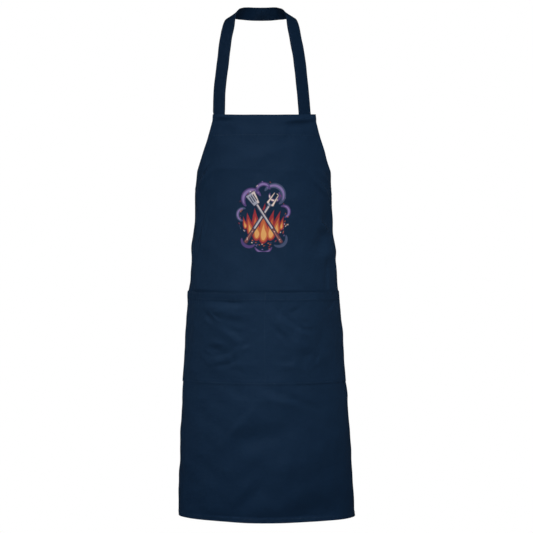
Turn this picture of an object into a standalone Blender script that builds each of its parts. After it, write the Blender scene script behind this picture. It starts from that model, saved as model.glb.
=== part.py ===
"""Barbecue apron, kept in the form that it has when worn.

Metres, +Z up. The origin is the middle of the inner face of the neck strap,
where the strap rests on the back of the neck. The front of the apron faces -Y.
"across" runs along the cloth from its centre line, "drop" runs down the cloth
from the top edge of the bib, and "lift" is the height above its outer face.
"""
import math
from bisect import bisect_right
from functools import lru_cache

import bpy
import bmesh
from mathutils import Vector

# The cut of the cloth, laid flat
APRON_LENGTH = 0.862
APRON_WIDTH = 0.660
BIB_WIDTH = 0.230
ARMHOLE_DROP = 0.270
ARMHOLE_HOLLOW = 1.48
CLOTH = 0.0010
CLEARANCE = 0.0003
BIB_HEM = 0.044
SIDE_HEM = 0.012
BOTTOM_HEM = 0.010

# The pocket
POCKET_WIDTH = 0.430
POCKET_HEIGHT = 0.195
POCKET_DROP = 0.3745
POCKET_HEM = 0.018
POCKET_FULLNESS = 0.0155
POCKET_FLAT = 0.16
DIVIDER_OFFSET = 0.0015

# The neck strap
NECK_DROP = 0.231
STRAP_WIDTH = 0.029
STRAP_THICKNESS = 0.0020
STRAP_INSET_LEFT = 0.0005
STRAP_INSET_RIGHT = 0.011

# The waist ties and their knot
TIE_WIDTH = 0.025
TIE_THICKNESS = 0.0016
TIE_END_LENGTH = 0.300
TIE_PINCH = 0.56
KNOT_WIDTH = 0.026
KNOT_HEIGHT = 0.022
KNOT_DEPTH = 0.014

# The torso that fills the cloth
BODY_WIDTH = 0.300
FRONT_DEPTH = 0.110
BACK_DEPTH = 0.130
SIDE_FORWARD = 0.060

# How far the cloth moves in its folds
FOLD_HEIGHT = 0.0060
HEM_FLUTE = 0.0090
FLUTE_PITCH = 0.170
CORNER_LIFT = 0.0030
HEM_RISE_LEFT = 0.0025

# Mesh spacing
ROW_STEP = 0.0245
COLUMN_STEP = 0.0180
STRAP_COLUMNS = 4
STRAP_STEPS = 25
TIE_STEP = 0.012
TIE_END_STEPS = 14
TIE_COLUMNS = 2
ARC_STEPS = 160
NORMAL_STEP = 0.0015

NAVY = (0.0095, 0.0205, 0.0395, 1.0)
NAVY_TAPE = (0.0075, 0.0165, 0.0320, 1.0)

# Cross-sections of the worn cloth, from the top edge of the bib to the hem.
# drop: share of APRON_LENGTH. half, centre: shares of half BODY_WIDTH.
# front: share of FRONT_DEPTH. back: share of BACK_DEPTH.
SECTIONS = (
    # drop, half, front, back, centre
    (0.00, 0.975, 0.840, 0.850, 0.053),
    (0.10, 0.965, 0.960, 0.900, 0.050),
    (0.20, 0.985, 1.005, 0.950, 0.043),
    (0.31, 1.013, 0.985, 1.000, 0.043),
    (0.45, 1.085, 1.000, 1.100, 0.046),
    (0.60, 1.145, 1.025, 1.200, 0.053),
    (0.80, 1.223, 1.045, 1.300, 0.070),
    (1.00, 1.280, 1.055, 1.350, 0.088),
)

# Soft folds and dents, each a long rounded ridge or valley.
# across, width: shares of half APRON_WIDTH. down, length: shares of
# APRON_LENGTH. turn: degrees from upright, top leaning right. height: share
# of FOLD_HEIGHT, below nought for a valley.
FOLDS = (
    # across, down, length, width, turn, height
    (0.00, 0.090, 0.080, 0.085, 68.0, 0.45),
    (-0.05, 0.175, 0.090, 0.100, 60.0, -0.30),
    (-0.46, 0.165, 0.055, 0.050, 40.0, 0.70),
    (0.44, 0.180, 0.060, 0.050, -38.0, 0.70),
    (-0.50, 0.300, 0.090, 0.055, 12.0, 0.80),
    (0.50, 0.262, 0.050, 0.060, -15.0, -0.80),
    (0.54, 0.350, 0.060, 0.050, -8.0, 0.60),
    (-0.74, 0.345, 0.075, 0.060, 62.0, 0.90),
    (0.74, 0.350, 0.075, 0.060, -62.0, 0.90),
    (0.10, 0.690, 0.070, 0.070, 78.0, 0.40),
    (-0.19, 0.760, 0.080, 0.090, 44.0, 0.60),
    (-0.13, 0.922, 0.085, 0.080, 44.0, -0.60),
    (0.28, 0.860, 0.110, 0.090, -35.0, 0.45),
    (0.31, 0.950, 0.070, 0.110, 80.0, -0.55),
)

# The strap from the bib edge to the middle of the neck.
# along: share of the way. rise: share of NECK_DROP. left, right: shares of the
# sideways reach at the bib. back: share of the way back to the neck. turn,
# tilt: degrees that its width turns away from the front and rises inward.
STRAP_ROUTE = (
    # along, rise, left, right, back, turn, tilt
    (0.00, 0.000, 1.000, 1.000, 0.000, 27.0, 0.0),
    (0.13, 0.234, 0.983, 0.955, 0.075, 27.0, -4.0),
    (0.29, 0.519, 0.902, 0.880, 0.165, 26.0, -8.0),
    (0.40, 0.710, 0.841, 0.803, 0.240, 26.0, -10.0),
    (0.46, 0.810, 0.793, 0.760, 0.295, 27.0, -6.0),
    (0.53, 0.922, 0.735, 0.700, 0.400, 30.0, 16.0),
    (0.62, 0.972, 0.620, 0.590, 0.600, 32.0, 42.0),
    (0.74, 0.995, 0.435, 0.415, 0.840, 28.0, 64.0),
    (0.87, 0.999, 0.210, 0.200, 0.965, 24.0, 82.0),
    (1.00, 1.000, 0.000, 0.000, 1.000, 24.0, 90.0),
)


def read_table(rows, column, key):
    """Smooth value of one column of a table whose first column rises."""
    keys = [row[0] for row in rows]
    values = [row[column] for row in rows]
    last = len(rows) - 1
    index = min(max(bisect_right(keys, key) - 1, 0), last - 1)

    def slope(at):
        before = max(at - 1, 0)
        after = min(at + 1, last)
        return (values[after] - values[before]) / (keys[after] - keys[before])

    width = keys[index + 1] - keys[index]
    t = min(max((key - keys[index]) / width, 0.0), 1.0)
    start = values[index] * (1 + 2 * t) * (1 - t) ** 2
    start += slope(index) * width * t * (1 - t) ** 2
    end = values[index + 1] * t * t * (3 - 2 * t)
    end -= slope(index + 1) * width * t * t * (1 - t)
    return start + end


def ease(value, low, high):
    """Smooth step from 0 at low to 1 at high."""
    t = min(max((value - low) / (high - low), 0.0), 1.0)
    return t * t * (3 - 2 * t)


def half_width(drop):
    """Half of the flat cloth's width at this drop."""
    share = min(max(drop / ARMHOLE_DROP, 0.0), 1.0) ** ARMHOLE_HOLLOW
    return BIB_WIDTH / 2 + (APRON_WIDTH - BIB_WIDTH) / 2 * share


@lru_cache(maxsize=None)
def section_arc(drop):
    """Arc lengths and points of one half of the section at this drop."""
    share = drop / APRON_LENGTH
    half = read_table(SECTIONS, 1, share) * BODY_WIDTH / 2
    front = read_table(SECTIONS, 2, share) * FRONT_DEPTH
    back = read_table(SECTIONS, 3, share) * BACK_DEPTH
    arcs = [0.0]
    points = [(0.0, -front)]
    for step in range(1, ARC_STEPS + 1):
        angle = math.pi * step / ARC_STEPS
        depth = front if 2 * step <= ARC_STEPS else back
        point = (half * math.sin(angle), -depth * math.cos(angle))
        arcs.append(arcs[-1] + math.dist(point, points[-1]))
        points.append(point)
    return arcs, points


def torso_point(across, drop):
    """Point on the smooth torso form that the cloth wraps."""
    arcs, points = section_arc(drop)
    reach = abs(across)
    index = min(max(bisect_right(arcs, reach) - 1, 0), len(arcs) - 2)
    t = (reach - arcs[index]) / (arcs[index + 1] - arcs[index])
    x = points[index][0] * (1 - t) + points[index + 1][0] * t
    y = points[index][1] * (1 - t) + points[index + 1][1] * t
    centre = read_table(SECTIONS, 4, drop / APRON_LENGTH) * BODY_WIDTH / 2
    corner = (reach / (BIB_WIDTH / 2)) ** 2 * (1 - ease(drop, 0.0, 2 * BIB_HEM))
    foot = ease(-across, 0.0, APRON_WIDTH / 3) * ease(drop / APRON_LENGTH, 0.85, 1.0)
    return Vector((
        centre + math.copysign(x, across),
        y - SIDE_FORWARD,
        -NECK_DROP - drop + CORNER_LIFT * corner + HEM_RISE_LEFT * foot,
    ))


def fold_height(across, drop):
    """Height of the folds, dents and hem flutes above the torso form."""
    half = APRON_WIDTH / 2
    height = 0.0
    for at, down, length, width, turn, share in FOLDS:
        side = across - at * half
        along = drop - down * APRON_LENGTH
        lean = math.radians(turn)
        run = along * math.cos(lean) - side * math.sin(lean)
        off = along * math.sin(lean) + side * math.cos(lean)
        size = (run / (length * APRON_LENGTH)) ** 2 + (off / (width * half)) ** 2
        height += share * FOLD_HEIGHT * math.exp(-size)
    grow = ease(drop, ARMHOLE_DROP, APRON_LENGTH)
    free = 0.20 + 0.80 * ease(abs(across), 0.5 * half, half)
    wave = math.sin(2 * math.pi * abs(across) / FLUTE_PITCH + 0.6)
    return height + HEM_FLUTE * grow * free * wave


@lru_cache(maxsize=None)
def cloth_point(across, drop):
    """Point on the outer face of the cloth."""
    step = NORMAL_STEP
    level = torso_point(across + step, drop) - torso_point(across - step, drop)
    fall = torso_point(across, drop + step) - torso_point(across, drop - step)
    normal = fall.cross(level).normalized()
    return torso_point(across, drop) + normal * fold_height(across, drop)


@lru_cache(maxsize=None)
def cloth_normal(across, drop):
    """Outward normal of the cloth."""
    step = NORMAL_STEP
    level = cloth_point(across + step, drop) - cloth_point(across - step, drop)
    fall = cloth_point(across, drop + step) - cloth_point(across, drop - step)
    return fall.cross(level).normalized()


def lay(across, drop, lift):
    """Point at a lift above the outer face of the cloth."""
    return cloth_point(across, drop) + cloth_normal(across, drop) * lift


def divide(breaks, step):
    """Values from the first break to the last, about one step apart."""
    values = [breaks[0]]
    for low, high in zip(breaks, breaks[1:]):
        count = max(1, round((high - low) / step))
        for index in range(1, count + 1):
            values.append(low + (high - low) * index / count)
    return values


def column_across(share, drop):
    """Across at a column: 1 is the inner line of the side hem, 2 the edge."""
    inner = half_width(drop) - SIDE_HEM
    reach = inner * min(abs(share), 1.0) + SIDE_HEM * max(abs(share) - 1.0, 0.0)
    return math.copysign(reach, share)


def cloth_rows():
    """Drops of the rows of the cloth's mesh."""
    pocket_foot = POCKET_DROP + POCKET_HEIGHT
    foot = APRON_LENGTH - BOTTOM_HEM
    breaks = [0.0, BIB_HEM, ARMHOLE_DROP, ARMHOLE_DROP + TIE_WIDTH, POCKET_DROP]
    breaks += [POCKET_DROP + POCKET_HEM, pocket_foot, foot, APRON_LENGTH]
    return divide(breaks, ROW_STEP)


def cloth_columns():
    """Shares of the columns of the cloth's mesh."""
    inner = APRON_WIDTH / 2 - SIDE_HEM
    pocket = POCKET_WIDTH / 2 / inner
    breaks = [-1.0, -pocket, DIVIDER_OFFSET / inner, pocket, 1.0]
    return [-2.0] + divide(breaks, COLUMN_STEP / inner) + [2.0]


def trim(values, low, high):
    """Values strictly between low and high, with low and high as the ends."""
    tiny = 1e-9
    between = [value for value in values if low + tiny < value < high - tiny]
    return [low] + between + [high]


def make_material(name, colour, roughness):
    """Woven cloth: dull and not metallic."""
    material = bpy.data.materials.new(name)
    material.use_nodes = True
    shader = material.node_tree.nodes["Principled BSDF"]
    shader.inputs["Base Color"].default_value = colour
    shader.inputs["Roughness"].default_value = roughness
    shader.inputs["Metallic"].default_value = 0.0
    material.diffuse_color = colour
    return material


def add_object(name, mesh, material):
    """Object from a mesh, with its own material."""
    mesh.materials.append(material)
    item = bpy.data.objects.new(name, mesh)
    bpy.context.scene.collection.objects.link(item)
    return item


def slab(name, outer, inner, material):
    """Closed sheet between two equal grids of points, outer[row][column]."""
    rows = len(outer)
    columns = len(outer[0])
    mesh_data = bmesh.new()
    front = [[mesh_data.verts.new(point) for point in row] for row in outer]
    back = [[mesh_data.verts.new(point) for point in row] for row in inner]

    def face(*corners):
        mesh_data.faces.new(corners)

    for r in range(rows - 1):
        for c in range(columns - 1):
            face(front[r][c], front[r + 1][c], front[r + 1][c + 1])
            face(front[r][c], front[r + 1][c + 1], front[r][c + 1])
            face(back[r][c], back[r + 1][c + 1], back[r + 1][c])
            face(back[r][c], back[r][c + 1], back[r + 1][c + 1])
    rim = [(r, 0) for r in range(rows)]
    rim += [(rows - 1, c) for c in range(1, columns)]
    rim += [(r, columns - 1) for r in range(rows - 2, -1, -1)]
    rim += [(0, c) for c in range(columns - 2, 0, -1)]
    for (r0, c0), (r1, c1) in zip(rim, rim[1:] + rim[:1]):
        face(front[r0][c0], back[r0][c0], back[r1][c1])
        face(front[r0][c0], back[r1][c1], front[r1][c1])
    bmesh.ops.recalc_face_normals(mesh_data, faces=mesh_data.faces)
    mesh = bpy.data.meshes.new(name)
    mesh_data.to_mesh(mesh)
    mesh_data.free()
    mesh.shade_smooth()
    mesh.set_sharp_from_angle(angle=math.radians(40))
    return add_object(name, mesh, material)


def cloth_slab(name, shares, drops, high, low, material):
    """Sheet on the cloth between two lifts, by columns and rows."""
    outer = []
    inner = []
    for drop in drops:
        line = [column_across(share, drop) for share in shares]
        outer.append([lay(across, drop, high) for across in line])
        inner.append([lay(across, drop, low) for across in line])
    return slab(name, outer, inner, material)


def make_body_panel():
    """The one cut of cloth."""
    material = make_material("body_cloth", NAVY, 0.88)
    cloth_slab("body_panel", cloth_columns(), cloth_rows(), 0.0, -CLOTH, material)


def make_hem(name, shares, drops):
    """A hem turned in behind the cloth."""
    material = make_material(name + "_cloth", NAVY, 0.88)
    high = -CLOTH - CLEARANCE
    cloth_slab(name, shares, drops, high, high - CLOTH, material)


def make_hems():
    """Bib hem, armhole hems, side hems and bottom hem."""
    columns = cloth_columns()
    rows = cloth_rows()
    inner = BIB_WIDTH / 2 - SIDE_HEM
    gap = CLEARANCE / inner
    between = trim(columns, -1.0 + gap, 1.0 - gap)
    make_hem("bib_hem", between, trim(rows, 0.0, BIB_HEM))
    make_hem("bottom_hem", between, trim(rows, APRON_LENGTH - BOTTOM_HEM, APRON_LENGTH))
    armhole = trim(rows, 0.0, ARMHOLE_DROP)
    side = trim(rows, ARMHOLE_DROP + CLEARANCE, APRON_LENGTH)
    make_hem("armhole_hem_left", [-2.0, -1.0], armhole)
    make_hem("armhole_hem_right", [1.0, 2.0], armhole)
    make_hem("side_hem_left", [-2.0, -1.0], side)
    make_hem("side_hem_right", [1.0, 2.0], side)


def pocket_room(across, drop):
    """Room between the cloth and the inner face of the pocket."""
    down = (drop - POCKET_DROP) / POCKET_HEIGHT
    half = POCKET_WIDTH / 2
    if across < DIVIDER_OFFSET:
        share = (across + half) / (DIVIDER_OFFSET + half)
        full = POCKET_FULLNESS
    else:
        share = (across - DIVIDER_OFFSET) / (half - DIVIDER_OFFSET)
        full = POCKET_FULLNESS * 0.92
    flat = POCKET_FLAT if across > DIVIDER_OFFSET else 0.0
    start = POCKET_FLAT if across < DIVIDER_OFFSET else 0.0
    share = (share - start) / (1 - start - flat)
    swell = math.sin(math.pi * min(max(share, 0.0), 1.0)) ** 1.2
    sag = (1 - min(max(down, 0.0), 1.0)) ** 0.9 * (0.86 + 0.14 * math.cos(9 * share + 4 * down))
    hem = (CLOTH + CLEARANCE) * (1 - ease(down, POCKET_HEM / POCKET_HEIGHT, 0.3))
    return CLEARANCE + hem + full * swell * sag


def pocket_slab(name, shares, drops, high, low):
    """Sheet at two heights over the pocket's room."""
    outer = []
    inner = []
    for drop in drops:
        line = [column_across(share, drop) for share in shares]
        room = [pocket_room(across, drop) for across in line]
        outer.append([lay(a, drop, up + high) for a, up in zip(line, room)])
        inner.append([lay(a, drop, up + low) for a, up in zip(line, room)])
    material = make_material(name + "_cloth", NAVY, 0.88)
    return slab(name, outer, inner, material)


def make_pocket():
    """The patch pocket and the hem at its mouth."""
    inner = APRON_WIDTH / 2 - SIDE_HEM
    edge = POCKET_WIDTH / 2 / inner
    shares = trim(cloth_columns(), -edge, edge)
    rows = cloth_rows()
    drops = trim(rows, POCKET_DROP, POCKET_DROP + POCKET_HEIGHT)
    pocket_slab("pocket_panel", shares, drops, CLOTH, 0.0)
    mouth = trim(rows, POCKET_DROP, POCKET_DROP + POCKET_HEM)
    pocket_slab("pocket_hem", shares, mouth, -CLEARANCE, -CLEARANCE - CLOTH)


def strap_seat(side):
    """Across of the strap's middle at the bib, left below nought."""
    if side < 0:
        return -(BIB_WIDTH / 2 - STRAP_INSET_LEFT - STRAP_WIDTH / 2)
    return BIB_WIDTH / 2 - STRAP_INSET_RIGHT - STRAP_WIDTH / 2


def strap_lift():
    """Lift of the middle of the strap where it is sewn behind the hem."""
    return -2 * (CLOTH + CLEARANCE) - STRAP_THICKNESS / 2


def strap_middle(side, along):
    """Middle of the free strap at a share of the way to the neck."""
    seat = lay(strap_seat(side), 0.0, strap_lift())
    column = 2 if side < 0 else 3
    neck = STRAP_THICKNESS / 2
    return Vector((
        seat.x * read_table(STRAP_ROUTE, column, along),
        seat.y + (neck - seat.y) * read_table(STRAP_ROUTE, 4, along),
        seat.z * (1 - read_table(STRAP_ROUTE, 1, along)),
    ))


def strap_half(side):
    """Outer and inner points of one half strap, sewn end first."""
    offsets = [STRAP_WIDTH * (index / STRAP_COLUMNS - 0.5)
               for index in range(STRAP_COLUMNS + 1)]
    outer = []
    inner = []
    for drop in reversed(trim(cloth_rows(), 0.0, BIB_HEM)):
        line = [strap_seat(side) - side * offset for offset in offsets]
        high = strap_lift() + STRAP_THICKNESS / 2
        outer.append([lay(across, drop, high) for across in line])
        inner.append([lay(across, drop, high - STRAP_THICKNESS) for across in line])
    for step in range(1, STRAP_STEPS + 1):
        along = step / STRAP_STEPS
        turn = math.radians(read_table(STRAP_ROUTE, 5, along))
        tilt = math.radians(read_table(STRAP_ROUTE, 6, along))
        inward = Vector((-side * math.cos(tilt) * math.cos(turn),
                         -math.cos(tilt) * math.sin(turn),
                         math.sin(tilt)))
        before = strap_middle(side, along - 0.02)
        after = strap_middle(side, along + 0.02) if step < STRAP_STEPS else None
        way = after - before if after else Vector((-side, 0.0, 0.0))
        face = inward.cross(way).normalized() * (-side * STRAP_THICKNESS / 2)
        line = [strap_middle(side, along) + inward * offset for offset in offsets]
        outer.append([point + face for point in line])
        inner.append([point - face for point in line])
    return outer, inner


def make_neck_strap():
    """One tape, sewn behind the bib hem at both ends."""
    left_outer, left_inner = strap_half(-1)
    right_outer, right_inner = strap_half(1)
    outer = left_outer + right_outer[-2::-1]
    inner = left_inner + right_inner[-2::-1]
    slab("neck_strap", outer, inner, make_material("strap_tape", NAVY_TAPE, 0.85))


def tie_drop():
    """Drop of the middle of the waist ties."""
    return ARMHOLE_DROP + CLEARANCE + TIE_WIDTH / 2


def back_arc(drop):
    """Length along the section from the centre line to the middle of the back."""
    return section_arc(drop)[0][-1]


def make_tie(side, name):
    """A tape from behind the waist corner to the knot at the back."""
    edge = APRON_WIDTH / 2
    whole = back_arc(tie_drop())
    end = whole - KNOT_WIDTH / 2 - 2 * CLEARANCE
    sewn = [edge - SIDE_HEM, edge]
    free = divide([edge, end], TIE_STEP)[1:]
    high = -2 * (CLOTH + CLEARANCE)
    grids = []
    for lift in (high, high - TIE_THICKNESS):
        grid = []
        for reach in sewn + free:
            pinch = 1 - (1 - TIE_PINCH) * ease(reach, edge, end) ** 2
            half = TIE_WIDTH / 2 * pinch
            sides = []
            for drop in (tie_drop() - half, tie_drop() + half):
                level = (back_arc(drop) - whole) * ease(reach, edge, end)
                sides.append(lay(side * (reach + level), drop, lift))
            grid.append([sides[0].lerp(sides[1], index / TIE_COLUMNS)
                         for index in range(TIE_COLUMNS + 1)])
        grids.append(grid)
    slab(name, grids[0], grids[1], make_material(name + "_tape", NAVY_TAPE, 0.85))


def knot_place():
    """Middle of the knot, between the ends of the two ties."""
    end = back_arc(tie_drop()) - KNOT_WIDTH / 2 - 2 * CLEARANCE
    middle = -2 * (CLOTH + CLEARANCE) - TIE_THICKNESS / 2
    return (lay(-end, tie_drop(), middle) + lay(end, tie_drop(), middle)) / 2


def make_knot():
    """The plain knot: a small lump of wrapped tape."""
    mesh_data = bmesh.new()
    bmesh.ops.create_cube(mesh_data, size=1.0)
    size = Vector((KNOT_WIDTH, KNOT_DEPTH, KNOT_HEIGHT))
    bmesh.ops.scale(mesh_data, vec=size, verts=mesh_data.verts)
    mesh = bpy.data.meshes.new("waist_knot")
    mesh_data.to_mesh(mesh)
    mesh_data.free()
    knot = add_object("waist_knot", mesh, make_material("knot_tape", NAVY_TAPE, 0.85))
    knot.location = knot_place()
    bevel = knot.modifiers.new("rounded", "BEVEL")
    bevel.width = KNOT_DEPTH * 0.32
    bevel.segments = 3
    mesh.shade_smooth()


def make_tie_end(side, name):
    """A tape end that hangs from the knot."""
    knot = knot_place()
    top = knot.z - KNOT_HEIGHT / 2 - CLEARANCE
    grids = ([], [])
    for step in range(TIE_END_STEPS + 1):
        down = step / TIE_END_STEPS
        half = TIE_WIDTH / 2 * (TIE_PINCH + (1 - TIE_PINCH) * ease(down, 0.0, 0.35))
        swing = side * TIE_WIDTH * (0.12 + 0.75 * down - 0.2 * down * down)
        gap = CLEARANCE + TIE_THICKNESS / 2 + TIE_WIDTH * 0.10 * ease(down, 0.0, 0.5)
        sway = TIE_WIDTH * 0.12 * math.sin(math.pi * 1.5 * down + side)
        sway -= TIE_WIDTH * 0.12 * math.sin(side)
        roll = 0.35 * side * ease(down, 0.15, 1.0)
        middle = Vector((knot.x + swing, knot.y + side * gap + sway * down,
                         top - TIE_END_LENGTH * down))
        wide = Vector((math.cos(roll), math.sin(roll), 0.0))
        thick = Vector((-math.sin(roll), math.cos(roll), 0.0)) * (TIE_THICKNESS / 2)
        for grid, sign in zip(grids, (1, -1)):
            grid.append([middle + wide * (half * (2 * index / TIE_COLUMNS - 1)) + thick * sign
                         for index in range(TIE_COLUMNS + 1)])
    slab(name, grids[0], grids[1], make_material(name + "_tape", NAVY_TAPE, 0.85))


def clear_scene():
    """Remove what the scene holds."""
    for item in list(bpy.data.objects):
        bpy.data.objects.remove(item, do_unlink=True)


clear_scene()
make_body_panel()
make_hems()
make_pocket()
make_neck_strap()
make_tie(-1, "waist_tie_left")
make_tie(1, "waist_tie_right")
make_knot()
make_tie_end(-1, "tie_end_left")
make_tie_end(1, "tie_end_right")
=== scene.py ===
import math
from functools import partial

import bpy
import numpy as np
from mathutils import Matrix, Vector


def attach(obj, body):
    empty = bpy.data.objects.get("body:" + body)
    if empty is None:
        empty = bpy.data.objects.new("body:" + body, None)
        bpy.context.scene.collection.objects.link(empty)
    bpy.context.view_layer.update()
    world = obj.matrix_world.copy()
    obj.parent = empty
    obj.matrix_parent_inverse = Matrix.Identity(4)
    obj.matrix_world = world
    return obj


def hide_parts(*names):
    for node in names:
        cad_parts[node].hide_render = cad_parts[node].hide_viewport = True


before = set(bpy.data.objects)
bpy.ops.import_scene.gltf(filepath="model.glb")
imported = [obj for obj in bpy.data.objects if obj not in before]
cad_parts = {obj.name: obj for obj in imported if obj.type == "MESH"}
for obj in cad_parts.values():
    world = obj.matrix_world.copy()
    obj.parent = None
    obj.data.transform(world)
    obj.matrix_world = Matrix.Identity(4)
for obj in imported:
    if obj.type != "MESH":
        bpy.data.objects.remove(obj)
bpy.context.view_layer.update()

# The studio: a pale floor well below the hem, one key light high in front, broad
# fill lights before, beside and behind, and a camera level with the chest.
CAMERA_PLACE = (0.013, -3.67, -0.474)
CAMERA_AIM = (0.013, -0.17, -0.551)
CAMERA_LENS = 112.4
FLOOR_HEIGHT = -1.60
FLOOR_HALF = 2.3
FILL_SIZE = 1.3
SOFT_STRENGTH = 0.20


def aim(item, target):
    """Turn a lamp or camera towards a point."""
    way = Vector(target) - item.location
    item.rotation_mode = "QUATERNION"
    item.rotation_quaternion = way.to_track_quat("-Z", "Y")


def add_object(name, data):
    """New object in the scene for a mesh, a lamp or the camera."""
    item = bpy.data.objects.new(name, data)
    bpy.context.scene.collection.objects.link(item)
    return item


def new_material(name):
    """New material, with its node tree and its shader."""
    material = bpy.data.materials.new(name)
    material.use_nodes = True
    return material, material.node_tree, material.node_tree.nodes["Principled BSDF"]


def set_inputs(node, values):
    """Set sockets of a node from a table of names and values."""
    for label, value in values.items():
        node.inputs[label].default_value = value


camera = add_object("camera", bpy.data.cameras.new("camera"))
camera.data.lens = CAMERA_LENS
camera.data.sensor_width = 36.0
camera.location = CAMERA_PLACE
aim(camera, CAMERA_AIM)
bpy.context.scene.camera = camera
bpy.context.scene.view_settings.view_transform = "Standard"

world = bpy.data.worlds.new("studio")
bpy.context.scene.world = world
world.use_nodes = True
studio = world.node_tree
seen = studio.nodes["Background"]
set_inputs(seen, {"Color": (1, 1, 1, 1), "Strength": 1.0})
soft = studio.nodes.new("ShaderNodeBackground")
set_inputs(soft, {"Color": (0.96, 0.98, 1, 1), "Strength": SOFT_STRENGTH})
rays = studio.nodes.new("ShaderNodeLightPath")
either = studio.nodes.new("ShaderNodeMixShader")
studio.links.new(rays.outputs["Is Camera Ray"], either.inputs[0])
studio.links.new(soft.outputs[0], either.inputs[1])
studio.links.new(seen.outputs[0], either.inputs[2])
studio.links.new(either.outputs[0], studio.nodes["World Output"].inputs["Surface"])
world.cycles_visibility.glossy = False


def soft_lamp(name, place, size, power, height, spread):
    """A square soft box that faces the apron at a height."""
    data = bpy.data.lights.new(name, "AREA")
    data.shape = "SQUARE"
    data.size = size
    data.energy = power
    data.spread = math.radians(spread)
    lamp = add_object(name, data)
    lamp.location = place
    aim(lamp, (0.0, -0.06, height))
    return lamp


soft_lamp("key_light", (-0.25, -3.40, 1.70), 0.8, 6.2, height=-1.04, spread=50.0)
for name, place, power, height, spread in (
        ("left_light", (-3.0, -1.8, 0.9), 8.2, -0.74, 60.0),
        ("right_light", (2.8, -2.0, 1.2), 7.8, -0.30, 50.0),
        ("front_light", (-0.3, -4.2, -0.92), 42.0, -0.90, 180.0),
        ("back_left_light", (-0.5, 3.2, 0.9), 80.0, -0.55, 180.0),
        ("back_right_light", (0.6, 3.4, 0.2), 70.0, -0.55, 180.0)):
    soft_lamp(name, place, FILL_SIZE, power, height, spread).visible_glossy = False

floor_mesh = bpy.data.meshes.new("floor")
floor_mesh.from_pydata([(x * FLOOR_HALF, y * FLOOR_HALF, FLOOR_HEIGHT)
                        for x, y in ((-1, -1), (1, -1), (1, 1), (-1, 1))], [], [(0, 1, 2, 3)])
floor = add_object("floor", floor_mesh)
floor_paint, _, floor_shader = new_material("pale_floor")
set_inputs(floor_shader, {"Base Color": (0.85, 0.85, 0.85, 1), "Emission Color": (1, 1, 1, 1),
                          "Emission Strength": 0.55, "Roughness": 0.9,
                          "Specular IOR Level": 0.1})
floor_mesh.materials.append(floor_paint)
floor.visible_diffuse = False
floor.visible_glossy = False

# The cut of cloth: one piece of navy cotton and polyester twill, with a bib, two
# hollowed armholes and a straight skirt. Worn, it wraps the chest and hips, and
# the creases of its packing still run across it.
APRON_LENGTH = 0.862
APRON_WIDTH = 0.660
BIB_WIDTH = 0.230
ARMHOLE_DROP = 0.270
ARMHOLE_HOLLOW = 1.48
CLOTH = 0.0007
SEAM_GAP = 0.0001
BIB_HEM = 0.044
SIDE_HEM = 0.012
BOTTOM_HEM = 0.010
POCKET_DROP = 0.3745
POCKET_HEIGHT = 0.195
POCKET_HEM = 0.018
NECK_DROP = 0.231
BODY_WIDTH = 0.300
FRONT_DEPTH = 0.110
BACK_DEPTH = 0.130
SIDE_FORWARD = 0.060
FOLD_HEIGHT = 0.0060
HEM_FLUTE = 0.0090
FLUTE_PITCH = 0.170
CORNER_LIFT = 0.0030
HEM_RISE_LEFT = 0.0025
MIDDLE_CREASE = 0.0005
WAVE_HEIGHT = 0.00015
MOUTH_STEP = 0.0020
FOOT_TUCK = 0.0032
HEM_BAND = 0.0012
HEM_DIP = 0.0006
BIB_PUCKER = 0.00022
HEM_PUCKER = 0.00025
PUCKER_REACH = 0.006
TORSO_STEP = 0.0015
CLOTH_STEP = 0.0012
FINE_STEP = 0.0015
WALE = 0.0011
SECTION_ANGLES = np.linspace(0, math.pi, 361)

SECTIONS = np.array((
    # drop, half, front, back, centre
    (0.00, 0.975, 0.840, 0.850, 0.053),
    (0.10, 0.965, 0.960, 0.900, 0.050),
    (0.20, 0.985, 1.005, 0.950, 0.043),
    (0.31, 1.013, 0.985, 1.000, 0.043),
    (0.45, 1.085, 1.000, 1.100, 0.046),
    (0.60, 1.145, 1.025, 1.200, 0.053),
    (0.80, 1.223, 1.045, 1.300, 0.070),
    (1.00, 1.280, 1.055, 1.350, 0.088),
))

FOLDS = (
    # across, down, length, width, turn, height
    (0.00, 0.090, 0.080, 0.085, 68.0, 0.45),
    (-0.05, 0.175, 0.090, 0.100, 60.0, -0.30),
    (-0.46, 0.165, 0.055, 0.050, 40.0, 0.70),
    (0.44, 0.180, 0.060, 0.050, -38.0, 0.70),
    (-0.50, 0.300, 0.090, 0.055, 12.0, 0.80),
    (0.50, 0.262, 0.050, 0.060, -15.0, -0.80),
    (0.54, 0.350, 0.060, 0.050, -8.0, 0.60),
    (-0.74, 0.345, 0.075, 0.060, 62.0, 0.90),
    (0.74, 0.350, 0.075, 0.060, -62.0, 0.90),
    (0.10, 0.690, 0.070, 0.070, 78.0, 0.40),
    (-0.19, 0.760, 0.080, 0.090, 44.0, 0.60),
    (-0.13, 0.922, 0.085, 0.080, 44.0, -0.60),
    (0.28, 0.860, 0.110, 0.090, -35.0, 0.45),
    (0.31, 0.950, 0.070, 0.110, 80.0, -0.55),
)

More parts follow.
